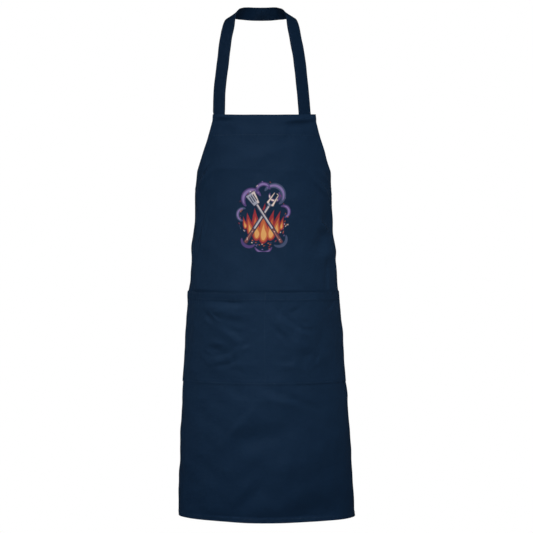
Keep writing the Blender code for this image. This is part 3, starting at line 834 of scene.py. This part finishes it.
SMOKE = (
    # x, y, radius, start, sweep, thick, colour
    (-24, 34, 19, 20, 210, 5.4, PURPLE),
    (-24, 34, 19, 40, 170, 2.6, LILAC),
    (-26, 36, 10, 300, 240, 3.4, SLATE),
    (-26, 36, 10, 320, 150, 1.5, LILAC),
    (22, 42, 21, 300, 215, 5.6, SLATE),
    (22, 42, 21, 330, 165, 2.4, LILAC),
    (24, 42, 11, 150, 250, 3.4, PURPLE),
    (24, 42, 11, 170, 140, 1.5, CREAM),
    (0, 52, 14, 10, 190, 4.0, PURPLE),
    (0, 52, 14, 40, 120, 1.8, LILAC),
    (-42, 2, 13, 70, 200, 3.8, SLATE),
    (-42, 2, 13, 95, 150, 1.6, LILAC),
    (43, 8, 12, 280, 200, 3.8, PURPLE),
    (43, 8, 12, 300, 150, 1.6, LILAC),
    (-30, -50, 16, 170, 150, 3.2, PURPLE),
    (32, -48, 17, 235, 150, 3.2, SLATE),
    (0, -58, 20, 205, 130, 3.0, PURPLE),
    (0, -58, 20, 220, 95, 1.2, LILAC),
)
for x, y, radius, start, sweep, thick, colour in SMOKE:
    paint(curl((x, y), radius, start, sweep, thick), colour)

FLAMES = (
    # x, y, height, width, lean
    (-27, -38, 44, 9, -8), (27, -38, 48, 9, 9), (-14, -46, 62, 12, -5),
    (15, -46, 58, 12, 7), (0, -50, 76, 14, 3), (-38, -26, 24, 5, -5), (38, -28, 27, 5, 6),
)
for size, colour in ((1.0, RED), (0.70, EMBER), (0.42, GOLD)):
    for x, y, height, width, lean in FLAMES:
        paint(flame(x, y + (1 - size) * 3, height * size, width * size, lean * size), colour)

for side, start, end in ((-1, (-37, -55), (13, 22)), (1, (37, -55), (-13, 22))):
    start, end = np.array(start, float), np.array(end, float)
    way = (end - start) / np.linalg.norm(end - start)
    over = np.array([-way[1], way[0]])
    paint(bar(start, end, 4.4), SHADE)
    paint(bar(start + way * 34, end, 1.9), STEEL)
    paint(bar(start + way * 34 - over * 0.7, end - over * 0.7, 0.6), CREAM)
    paint(bar(start, start + way * 30, 3.4, 2.6), (0.120, 0.040, 0.045))
    paint(bar(start + over * 1.2, start + way * 29 + over * 0.8, 0.8), (0.300, 0.120, 0.100))
    for share in (5, 25):
        paint(bar(start + way * share, start + way * share, 0.9), CREAM)
    if side < 0:
        for spread in (-6.0, 6.0):
            root, tip = end + over * spread, end + over * spread * 0.8 + way * 27
            paint(bar(end, root + way * 3, 3.1), SHADE)
            paint(bar(root + way * 3, tip, 2.9, 1.6), SHADE)
            paint(bar(end, root + way * 3, 1.9), STEEL)
            paint(bar(root + way * 3, tip, 1.8, 0.5), CREAM)
    else:
        middle = end + way * 15
        local = np.stack([(mm - middle) @ over, (mm - middle) @ way], -1)
        taper = 8.5 + 0.16 * local[..., 1]
        blade = np.maximum(np.abs(local[..., 0]) - taper, np.abs(local[..., 1]) - 13.0)
        paint(blade - 1.4, SHADE)
        paint(blade, STEEL)
        paint(np.maximum(blade, local[..., 0] + 3.0), CREAM, strength=0.75)
        for slot in (-4.6, 0.0, 4.6):
            slit = np.hypot(local[..., 0] - slot, np.maximum(np.abs(local[..., 1] - 1) - 7, 0))
            paint(slit - 1.1, SHADE)

sparks = np.random.default_rng(4)
for _ in range(62):
    angle = sparks.uniform(0, 2 * math.pi)
    away = sparks.uniform(0.80, 0.98)
    x, y = 56 * away * math.cos(angle), 74 * away * math.sin(angle)
    length = sparks.uniform(0.8, 3.4)
    lean = angle + math.pi / 2 + sparks.uniform(-0.5, 0.5)
    tip = (x + length * math.cos(lean), y + length * math.sin(lean))
    colour = (LILAC, RED, CREAM, SLATE, EMBER)[sparks.integers(5)]
    paint(bar((x, y), tip, sparks.uniform(0.5, 1.2), 0.2), colour, soft=0.4)


def on_cloth(across, drop, lift):
    """Points a little above the drawn cloth, read from its own mesh."""
    share = across / (half_width(drop) - SIDE_HEM)
    column = np.interp(share, cloth_columns, np.arange(len(cloth_columns)))
    row = np.interp(drop, cloth_rows, np.arange(len(cloth_rows)))
    c, r = np.floor(column).astype(int), np.floor(row).astype(int)
    fc, fr = (column - c)[..., None], (row - r)[..., None]
    upper = cloth_face[r, c] * (1 - fc) + cloth_face[r, c + 1] * fc
    lower = cloth_face[r + 1, c] * (1 - fc) + cloth_face[r + 1, c + 1] * fc
    level = (cloth_face[r, c + 1] - cloth_face[r, c]) * (1 - fr)
    level += (cloth_face[r + 1, c + 1] - cloth_face[r + 1, c]) * fr
    normal = unit(np.cross(lower - upper, level))
    return upper * (1 - fr) + lower * fr + normal * lift


def ink_material(name):
    """Printed ink that soaks into the weave: dull, with yarns showing through."""
    material, tree, shader = new_material(name)
    _, weave = add_weave(tree, WALE)
    colour = tree.nodes.new("ShaderNodeVertexColor")
    colour.layer_name = "ink"
    wear_and_painted_shade = math_node(tree, "ADD", math_node(tree, "MULTIPLY", weave.outputs["Fleck"], 0.25),
                     math_node(tree, "MULTIPLY", weave.outputs["Height"], 0.16))
    tree.links.new(add_mix(tree, wear_and_painted_shade, colour.outputs["Color"], NAVY),
                   shader.inputs["Base Color"])
    tree.links.new(math_node(tree, "ADD", wear_and_painted_shade, 0.55), shader.inputs["Roughness"])
    tree.links.new(add_bump(tree, weave.outputs["Height"], 0.35, 0.00012),
                   shader.inputs["Normal"])
    shader.inputs["Specular IOR Level"].default_value = 0.15
    return material


points = on_cloth(u, PRINT_DROP + v, INK_LIFT)
index = np.arange(u.size).reshape(u.shape)
quads = np.stack([index[:-1, :-1], index[1:, :-1], index[1:, 1:], index[:-1, 1:]], -1)
quads = quads.reshape(-1, 4)
inked = cover.ravel()[quads].max(axis=1) > 0.02
quads = quads[inked]
taken, quads = np.unique(quads, return_inverse=True)
quads = quads.reshape(-1, 4)
print_mesh = bpy.data.meshes.new("printed_design")
print_mesh.from_pydata(points.reshape(-1, 3)[taken].tolist(), [], quads.tolist())
colours = print_mesh.color_attributes.new("ink", "FLOAT_COLOR", "POINT")
rgba = np.concatenate([ink.reshape(-1, 3)[taken], np.ones((len(taken), 1))], 1)
colours.data.foreach_set("color", rgba.astype(np.float32).ravel())
write_uv(print_mesh, np.stack([u, PRINT_DROP + v], -1).reshape(-1, 2)[taken])
print_mesh.shade_smooth()
print_mesh.materials.append(ink_material("print_ink"))
printed = add_object("printed_design", print_mesh)
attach(printed, "root")

# The pocket: one wide patch of the same twill across the whole front, with a
# folded hem at its mouth, turned edges, and a seam that splits it in two.
POCKET_WIDTH = 0.430
POCKET_FULLNESS = 0.0155
POCKET_FLAT = 0.16
DIVIDER_OFFSET = 0.0015
DIVIDER_SINK = 0.00008
POCKET_PUCKER = 0.00022
LEAST_ROOM = 0.0002
POCKET_STEP = 0.0026
TACK_PITCH = 0.0026
EDGE_STITCH = 0.0035

POCKET_SLOPES = (
    # across, down, length, width, turn, tilt
    (-0.093, 0.404, 0.032, 0.012, 95, 0.52),
    (-0.058, 0.402, 0.018, 0.010, 90, 0.36),
    (-0.096, 0.413, 0.012, 0.006, 70, 0.36),
    (-0.121, 0.433, 0.013, 0.006, 130, 0.48),
    (-0.112, 0.424, 0.015, 0.005, 130, -0.50),
    (-0.100, 0.428, 0.010, 0.005, 120, 0.38),
    (-0.055, 0.430, 0.024, 0.011, 95, -0.38),
    (-0.014, 0.453, 0.011, 0.008, 60, 0.40),
    (-0.064, 0.464, 0.024, 0.010, 125, 0.38),
    (-0.044, 0.492, 0.012, 0.008, 60, 0.38),
    (-0.101, 0.489, 0.016, 0.009, 95, -0.52),
    (-0.093, 0.512, 0.022, 0.008, 80, 0.55),
    (-0.063, 0.498, 0.014, 0.007, 45, 0.40),
    (-0.086, 0.525, 0.022, 0.006, 80, -0.46),
    (-0.052, 0.535, 0.014, 0.008, 90, -0.40),
    (-0.009, 0.497, 0.011, 0.005, 50, -0.44),
    (-0.016, 0.522, 0.013, 0.007, 80, 0.26),
    (0.044, 0.434, 0.024, 0.009, 130, 0.52),
    (0.083, 0.456, 0.017, 0.010, 118, 0.44),
    (0.032, 0.454, 0.024, 0.008, 132, -0.46),
    (0.083, 0.500, 0.022, 0.014, 95, -0.28),
    (0.038, 0.526, 0.022, 0.010, 90, 0.52),
    (0.030, 0.541, 0.020, 0.004, 80, -0.36),
    (0.166, 0.405, 0.015, 0.006, 60, 0.70),
    (0.172, 0.514, 0.020, 0.005, 30, 0.80),
)

crumpler = np.random.default_rng(9)
CRUMPLES = [(crumpler.uniform(-0.150, 0.120), crumpler.uniform(0.398, 0.556),
             crumpler.uniform(0.008, 0.016), crumpler.uniform(0.0045, 0.0075),
             crumpler.uniform(0, 180), crumpler.uniform(-0.40, 0.40)) for _ in range(46)]


def pocket_room(across, drop):
    """Room between the cloth and the inner face of the pocket."""
    down = np.clip((drop - POCKET_DROP) / POCKET_HEIGHT, 0, 1)
    half = POCKET_WIDTH / 2
    left = across < DIVIDER_OFFSET
    share = np.where(left, (across + half) / (DIVIDER_OFFSET + half),
                     (across - DIVIDER_OFFSET) / (half - DIVIDER_OFFSET))
    full = np.where(left, POCKET_FULLNESS, POCKET_FULLNESS * 0.92)
    share = np.where(left, (share - POCKET_FLAT) / (1 - POCKET_FLAT), share / (1 - POCKET_FLAT))
    swell = np.sin(math.pi * np.clip(share, 0, 1)) ** 1.2
    sag = (1 - down) ** 0.9 * (0.86 + 0.14 * np.cos(9 * share + 4 * down))
    hem = CLOTH * (1 - ease(drop, POCKET_DROP + POCKET_HEM - 0.001,
                            POCKET_DROP + POCKET_HEM + 0.0025))
    turned = CLOTH * (1 - ease(half - np.abs(across), 0.008, 0.011))
    foot = 0.4 * CLOTH * ease(drop, POCKET_DROP + POCKET_HEIGHT - 0.011,
                        POCKET_DROP + POCKET_HEIGHT - 0.008)
    room = LEAST_ROOM + np.maximum(hem, np.maximum(turned, foot)) + full * swell * sag
    dents = slopes_height(POCKET_SLOPES, across, drop)
    dents += slopes_height(CRUMPLES, across, drop)
    pull = np.sin(across * 560.0 + 3.0 * np.sin(across * 80.0))
    from_hem = drop - POCKET_DROP - POCKET_HEM
    dents += POCKET_PUCKER * pull * np.exp(-(from_hem / PUCKER_REACH) ** 2)
    return np.maximum(room + dents * ease(room, 0.0004, 0.004), LEAST_ROOM)


def lay_pocket(across, drop, lift):
    """Points at a lift above the outer face of the pocket."""
    return lay(across, drop, pocket_room(across, drop) + CLOTH + lift)


def lay_divider(across, drop, lift):
    """Points at a lift above the pocket, sunk a little between its two swells."""
    return lay_pocket(across, drop, lift - DIVIDER_SINK)


# Pocket cloth with the same painted shade as the body.
pocket_cloth = twill_material("navy_pocket_twill", NAVY, NAVY_PALE, WALE, wear_and_painted_shade=0.85)
half = POCKET_WIDTH / 2
pocket_columns = spaced([-half, DIVIDER_OFFSET, half], POCKET_STEP,
                        fine=(-half + 0.004, DIVIDER_OFFSET, half - 0.004), reach=0.004)
pocket_rows = spaced([POCKET_DROP, POCKET_DROP + POCKET_HEIGHT], POCKET_STEP,
                     fine=(POCKET_DROP + 0.003, POCKET_DROP + POCKET_HEM,
                           POCKET_DROP + POCKET_HEIGHT - 0.006))
across, drop = np.meshgrid(pocket_columns, pocket_rows)
room = pocket_room(across, drop)
outer, inner = lay(across, drop, room + CLOTH, room)
pocket = closed_sheet("pocket_cloth", outer, inner, np.stack([across, drop], -1), pocket_cloth)
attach(pocket, "root")
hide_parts("pocket_panel")

mouth_rows = np.linspace(POCKET_DROP + 0.0003, POCKET_DROP + POCKET_HEM - 0.001, 6)
across, drop = np.meshgrid(np.linspace(-half + 0.002, half - 0.002, 110), mouth_rows)
room = pocket_room(across, drop)
outer, inner = lay(across, drop, room - 0.0001, np.maximum(room - 0.0001 - CLOTH, 0.00005))
pocket_hem = closed_sheet("pocket_hem_cloth", outer, inner, np.stack([across, -drop], -1),
                          pocket_cloth)
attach(pocket_hem, "root")
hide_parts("pocket_hem")

line = np.linspace(-1, 1, 120) * (half - 0.003)
levels = np.linspace(POCKET_DROP + 0.003, POCKET_DROP + POCKET_HEIGHT - 0.003, 60)
pocket_lines = [
    along_line(line, np.full(120, POCKET_DROP + 0.0030), place=lay_pocket),
    along_line(line, np.full(120, POCKET_DROP + POCKET_HEM - 0.0025), place=lay_pocket),
    along_line(line, np.full(120, POCKET_DROP + POCKET_HEIGHT - EDGE_STITCH), place=lay_pocket),
    along_line(np.full(60, DIVIDER_OFFSET), levels, place=lay_divider),
    along_line(np.full(60, half - EDGE_STITCH), levels, place=lay_pocket),
    along_line(np.full(60, -half + EDGE_STITCH), levels, place=lay_pocket),
]
tack_level = np.linspace(POCKET_DROP + 0.001, POCKET_DROP + 0.016, 12)
for place_across in (-half + 0.0055, DIVIDER_OFFSET + 0.002, half - 0.0055):
    for shift in (-0.0006, 0.0006):
        pocket_lines.append(along_line(np.full(12, place_across + shift), tack_level,
                                       pitch=TACK_PITCH, place=lay_pocket))
pocket_stitches = sew("pocket_stitches", pocket_lines, navy_thread, stitch_tree, 5)
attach(pocket_stitches, "root")

# The neck strap: a flat tube of the same twill, stitched near both edges. Both
# ends go down behind the bib hem, and the loop passes round the back of the neck.
STRAP_WIDTH = 0.029
STRAP_THICKNESS = 0.0014
STRAP_INSETS = {-1: 0.0005, 1: 0.011}
STRAP_EDGE = 0.0028
STRAP_SEAT = 0.0026
STRAP_SEWN = 0.0019
# Tape colours: darker than the body navy, partly the tape's own tone and partly painted shade for
# the shade the strap lies in.
SHADED_TAPE_NAVY = (0.0024, 0.0076, 0.0194, 1)
SHADED_TAPE_PALE = (0.0034, 0.0112, 0.0262, 1)
TAPE_WALE = 0.0010
STRAP_ROUTE = np.array((
    # along, rise, left, right, back, turn, tilt
    (0.00, 0.000, 1.000, 1.000, 0.000, 27.0, 0.0),
    (0.13, 0.234, 0.983, 0.955, 0.075, 27.0, -4.0),
    (0.29, 0.519, 0.902, 0.880, 0.165, 26.0, -8.0),
    (0.40, 0.710, 0.841, 0.803, 0.240, 26.0, -10.0),
    (0.46, 0.810, 0.793, 0.760, 0.295, 27.0, -6.0),
    (0.53, 0.922, 0.735, 0.700, 0.400, 30.0, 16.0),
    (0.62, 0.972, 0.620, 0.590, 0.600, 32.0, 42.0),
    (0.74, 0.995, 0.435, 0.415, 0.840, 28.0, 64.0),
    (0.87, 0.999, 0.210, 0.200, 0.965, 24.0, 82.0),
    (1.00, 1.000, 0.000, 0.000, 1.000, 24.0, 90.0),
))


def strap_middle(side, along):
    """Middle of the free strap at shares of the way to the neck."""
    seat_across = side * (BIB_WIDTH / 2 - STRAP_INSETS[side] - STRAP_WIDTH / 2)
    seat = lay(seat_across, 0.0, -STRAP_SEAT)
    along = np.clip(along, 0, 1)
    x = seat[0] * table_column(STRAP_ROUTE, 2 if side < 0 else 3, along)
    y = seat[1] + (STRAP_THICKNESS / 2 - seat[1]) * table_column(STRAP_ROUTE, 4, along)
    z = seat[2] * (1 - table_column(STRAP_ROUTE, 1, along))
    return np.stack([x, y, z], axis=-1)


def strap_face(side, offset, along):
    """Points of the middle layer and outward normals of half of the strap."""
    turn = np.radians(table_column(STRAP_ROUTE, 5, np.clip(along, 0, 1)))
    tilt = np.radians(table_column(STRAP_ROUTE, 6, np.clip(along, 0, 1)))
    inward = np.stack([-side * np.cos(tilt) * np.cos(turn), -np.cos(tilt) * np.sin(turn),
                       np.sin(tilt)], axis=-1)
    way = strap_middle(side, along + 0.01) - strap_middle(side, along - 0.01)
    way = np.where((along > 0.995)[..., None], np.array([-side, 0.0, 0.0]), way)
    normal = unit(np.cross(inward, way) * -side)
    wave = 0.0005 * np.sin(along * 23.0 + side) + 0.0004 * np.sin(along * 61.0 + offset * 90.0)
    wave = wave * np.sin(math.pi * along) + 0.0005 * (1 - (2 * offset / STRAP_WIDTH) ** 2)
    points = strap_middle(side, along) + inward * offset[..., None]
    return points + normal * wave[..., None], normal


strap_cloth = twill_material("navy_strap_twill", SHADED_TAPE_NAVY, SHADED_TAPE_PALE, TAPE_WALE)
edge_dip = np.array([0.55, 0.92, 1.06, 1.0, 0.86, 0.93, 1.0, 1.0, 1.0, 0.93, 0.86, 1.0, 1.06,
                     0.92, 0.55])
offsets = STRAP_WIDTH / 2 * np.array([-1, -0.97, -0.91, -0.84, -0.80, -0.72, -0.45, 0, 0.45, 0.72,
                                      0.80, 0.84, 0.91, 0.97, 1])
halves = []
strap_lines = []
for side in (-1, 1):
    middle = side * (BIB_WIDTH / 2 - STRAP_INSETS[side] - STRAP_WIDTH / 2)
    drops = np.linspace(BIB_HEM - 0.004, 0.0, 40)
    a, d = np.meshgrid(middle - side * offsets, drops)
    high = np.full(a.shape, -STRAP_SEWN)
    sewn = lay(a, d, high - STRAP_THICKNESS * (0.5 - edge_dip / 2),
               high - STRAP_THICKNESS * (0.5 + edge_dip / 2))
    along = np.linspace(0, 1, 130)[2:]
    o, s = np.meshgrid(offsets, along)
    core, normal = strap_face(side, o, s)
    lift = normal * (STRAP_THICKNESS / 2 * edge_dip)[None, :, None]
    halves.append([np.concatenate([sewn[0], core + lift]),
                   np.concatenate([sewn[1], core - lift])])
    for edge in (-1, 1):
        shares = np.linspace(0.015, 1, 260)
        offset = np.full(260, edge * (STRAP_WIDTH / 2 - STRAP_EDGE))
        for face in (-1, 1):
            core, normal = strap_face(side, offset, shares)
            lengths = path_lengths(core)
            count = int(lengths[-1] / STITCH_PITCH)
            at = np.interp((np.arange(count) + 0.5) / count * lengths[-1], lengths, shares)
            core, normal = strap_face(side, offset[:count], at)
            way = strap_face(side, offset[:count], np.minimum(at + 0.003, 1))[0]
            way -= strap_face(side, offset[:count], at - 0.003)[0]
            strap_lines.append((core + face * normal * STRAP_THICKNESS * 0.44, way,
                                face * normal))
outer = np.concatenate([halves[0][0], halves[1][0][-2::-1]])
inner = np.concatenate([halves[0][1], halves[1][1][-2::-1]])
lengths = path_lengths(outer[:, len(offsets) // 2])
flat = np.stack(np.meshgrid(offsets, lengths), -1)
strap = closed_sheet("neck_strap_cloth", outer, inner, flat, strap_cloth)
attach(strap, "root")
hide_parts("neck_strap")
strap_stitches = sew("strap_stitches", strap_lines, navy_thread, stitch_tree, 7)
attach(strap_stitches, "root")

# The waist ties: two narrow twill tapes, sewn behind the waist corners. They go
# round the back, narrow as they are drawn together, and end in a plain knot.
TIE_WIDTH = 0.025
TIE_THICKNESS = 0.0012
TIE_PINCH = 0.56
TIE_STITCH_LINE = 0.80
TIE_STITCH_DEPTH = 0.45
KNOT_WIDTH = 0.026
KNOT_HEIGHT = 0.022
KNOT_DEPTH = 0.014
CLEARANCE = 0.0003
TIE_DROP = ARMHOLE_DROP + CLEARANCE + TIE_WIDTH / 2


def back_arc(drop):
    """Length along the section from the centre line to the middle of the back."""
    share = np.atleast_1d(drop) / APRON_LENGTH
    half = table_column(SECTIONS, 1, share)[:, None] * BODY_WIDTH / 2
    front = table_column(SECTIONS, 2, share)[:, None] * FRONT_DEPTH
    back = table_column(SECTIONS, 3, share)[:, None] * BACK_DEPTH
    angle = SECTION_ANGLES[None, :]
    depth = np.where(angle <= math.pi / 2, front, back)
    steps = np.hypot(np.diff(half * np.sin(angle)), np.diff(depth * np.cos(angle)))
    return steps.sum(axis=1)


tie_cloth = twill_material("navy_tie_twill", SHADED_TAPE_NAVY, SHADED_TAPE_PALE, TAPE_WALE)
whole = float(back_arc(TIE_DROP)[0])
tie_end_reach = whole - KNOT_WIDTH / 2 - 2 * CLEARANCE
waist_edge = APRON_WIDTH / 2
tie_stitch_lines = []
knot_sides = []


def tie_place(side, reach, height, lift):
    """Points of a waist tie: height runs from -1 at its top edge to 1."""
    close = ease(reach, waist_edge, tie_end_reach)
    half = TIE_WIDTH / 2 * (1 - (1 - TIE_PINCH) * close ** 2)
    drop = TIE_DROP + half * height
    level = (back_arc(drop.ravel()).reshape(drop.shape) - whole) * close
    ruck = 0.0008 * close * np.sin(height * 7.0 + reach * 60.0)
    sag = 0.0004 * np.sin(reach * 70.0)
    return lay(side * (reach + level), drop, lift - ruck - sag * close)


def tie_lines(place, start, end, face_lifts):
    """Stitch lines near both edges of a tape, on both of its faces."""
    for height in (-TIE_STITCH_LINE, TIE_STITCH_LINE):
        for lift, away in face_lifts:
            reach = np.linspace(start, end, int((end - start) / STITCH_PITCH))
            level = np.full(reach.shape, height)
            here = place(reach, level, lift)
            way = place(reach + 0.001, level, lift) - place(reach - 0.001, level, lift)
            tie_stitch_lines.append((here, way, place(reach, level, lift + away) - here))


for side, name in ((-1, "waist_tie_left"), (1, "waist_tie_right")):
    reaches = np.linspace(waist_edge - SIDE_HEM, tie_end_reach, 70)
    heights = np.array([-1, -0.95, -0.86, -0.78, -0.6, -0.3, 0, 0.3, 0.6, 0.78, 0.86, 0.95, 1])
    dip = np.array([0.6, 0.95, 1.05, 0.88, 1, 1, 1, 1, 1, 0.88, 1.05, 0.95, 0.6])
    reach, height = np.meshgrid(reaches, heights, indexing="ij")
    high = -2 * CLOTH - 2 * SEAM_GAP - CLEARANCE
    middle = high - TIE_THICKNESS / 2
    outer = tie_place(side, reach, height, middle + dip[None, :] * TIE_THICKNESS / 2)
    inner = tie_place(side, reach, height, middle - dip[None, :] * TIE_THICKNESS / 2)
    flat = np.stack([height * TIE_WIDTH / 2, reach], -1)
    if side < 0:
        outer, inner, flat = outer[:, ::-1], inner[:, ::-1], flat[:, ::-1]
    tie = closed_sheet(name + "_tape", outer, inner, flat, tie_cloth)
    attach(tie, "root")
    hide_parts(name)
    deep = TIE_THICKNESS * TIE_STITCH_DEPTH
    tie_lines(partial(tie_place, side), waist_edge + 0.001, tie_end_reach - 0.004,
              ((middle + deep, 0.001), (middle - deep, -0.001)))
    knot_sides.append(lay(side * tie_end_reach, TIE_DROP, -0.0034))

# The knot: the two ties crossed and drawn tight, so that one turn of tape wraps
# slanting over the other. It hides how the tapes pass inside it.
knot_middle = (knot_sides[0] + knot_sides[1]) / 2
turns, rings = 96, 60
u, v = np.meshgrid(np.linspace(0, 2 * math.pi, turns, endpoint=False),
                   np.linspace(-0.5, 0.5, rings + 1)[1:-1] * math.pi)


def rounded(values, power):
    """Signed power, which squares off a round form."""
    return np.sign(values) * np.abs(values) ** power


x = rounded(np.cos(v), 0.75) * rounded(np.cos(u), 0.8)
y = rounded(np.cos(v), 0.75) * rounded(np.sin(u), 0.8)
z = rounded(np.sin(v), 0.85)
slant = x * 0.80 + z * 0.60
band = ease(np.abs(slant), 0.62, 0.50)
groove = np.exp(-((np.abs(slant) - 0.60) / 0.06) ** 2)
crease = np.sin((z * 0.8 - x * 0.6) * 15.0 + 1.5 * np.sin(slant * 5.0))
size = 1.0 - 0.16 * groove - 0.10 * (1 - band) + 0.018 * crease
size = size - 0.05 * np.exp(-((slant - 0.08) / 0.05) ** 2)
points = np.stack([x * KNOT_WIDTH / 2, y * KNOT_DEPTH / 2, z * KNOT_HEIGHT / 2], -1)
points = points * size[..., None] + knot_middle
count = len(points)
verts = points.reshape(-1, 3).tolist()
poles = [(knot_middle + np.array([0, 0, s * KNOT_HEIGHT / 2 * 0.9])).tolist() for s in (-1, 1)]
index = np.arange(count * turns).reshape(count, turns)
faces = np.stack([index[:-1], np.roll(index[:-1], -1, 1), np.roll(index[1:], -1, 1), index[1:]],
                 -1).reshape(-1, 4).tolist()
base = count * turns
for k in range(turns):
    faces.append([base, int(index[0, (k + 1) % turns]), int(index[0, k])])
    faces.append([base + 1, int(index[-1, k]), int(index[-1, (k + 1) % turns])])
knot_mesh = bpy.data.meshes.new("waist_knot_tape")
knot_mesh.from_pydata(verts + poles, [], faces)
write_uv(knot_mesh, np.array(verts + poles)[:, [0, 2]] @ np.array([[0.8, 0.6], [0.6, -0.8]]))
knot_mesh.shade_smooth()
knot_mesh.materials.append(tie_cloth)
knot = add_object("waist_knot_tape", knot_mesh)
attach(knot, "root")
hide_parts("waist_knot")

# The tie ends: the rest of the two tapes, hanging from the knot at their full
# width, each turned under and stitched across at its tip.
TIE_END_LENGTH = 0.300


def tie_end_place(side, down, height, lift):
    """Points of a hanging tie end: down is a length from the knot."""
    share = down / TIE_END_LENGTH
    half = TIE_WIDTH / 2 * (TIE_PINCH + (1 - TIE_PINCH) * ease(share, 0.0, 0.35))
    swing = side * TIE_WIDTH * (0.12 + 0.75 * share - 0.2 * share * share)
    gap = CLEARANCE + 0.0008 + TIE_WIDTH * 0.10 * ease(share, 0.0, 0.5)
    sway = TIE_WIDTH * 0.12 * (np.sin(math.pi * 1.5 * share + side) - math.sin(side))
    roll = 0.35 * side * ease(share, 0.15, 1.0)
    cup = 0.0016 * (1 - ease(share, 0.0, 0.30)) * np.cos(height * 3.0)
    cup = cup + 0.0005 * np.sin(share * 17.0 + side + height)
    wide, up = half * height, lift + cup
    x = knot_middle[0] + swing + wide * np.cos(roll) - up * np.sin(roll)
    y = knot_middle[1] + side * gap + sway * share + wide * np.sin(roll) + up * np.cos(roll)
    return np.stack([x, y, knot_middle[2] - KNOT_HEIGHT * 0.46 - down], axis=-1)


for side, name in ((-1, "tie_end_left"), (1, "tie_end_right")):
    downs = np.concatenate([np.linspace(0, TIE_END_LENGTH - 0.012, 90),
                            TIE_END_LENGTH - np.array([0.010, 0.009, 0.005, 0.0015, 0.0005, 0])])
    thick = np.where(downs > TIE_END_LENGTH - 0.0095, 1.5, 1.0)
    thick[-1], thick[-2] = 0.8, 1.3
    down, height = np.meshgrid(downs, heights, indexing="ij")
    lift = dip[None, :] * thick[:, None] * TIE_THICKNESS / 2
    outer = tie_end_place(side, down, height, lift)
    inner = tie_end_place(side, down, height, -lift)
    flat = np.stack([height * TIE_WIDTH / 2, down], -1)
    tie = closed_sheet(name + "_tape", outer[:, ::-1], inner[:, ::-1], flat[:, ::-1], tie_cloth)
    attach(tie, "root")
    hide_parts(name)
    place = partial(tie_end_place, side)
    deep = TIE_THICKNESS * TIE_STITCH_DEPTH
    tie_lines(place, 0.004, TIE_END_LENGTH - 0.002, ((deep, 0.001), (-deep, -0.001)))
    for lift, away in ((TIE_THICKNESS * 0.66, 0.001), (-TIE_THICKNESS * 0.66, -0.001)):
        height = np.linspace(-0.72, 0.72, 6)
        level = np.full(6, TIE_END_LENGTH - 0.0065)
        here = place(level, height, lift)
        way = place(level, height + 0.05, lift) - place(level, height - 0.05, lift)
        tie_stitch_lines.append((here, way, place(level, height, lift + away) - here))
tie_stitches = sew("tie_stitches", tie_stitch_lines, navy_thread, stitch_tree, 9)
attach(tie_stitches, "root")
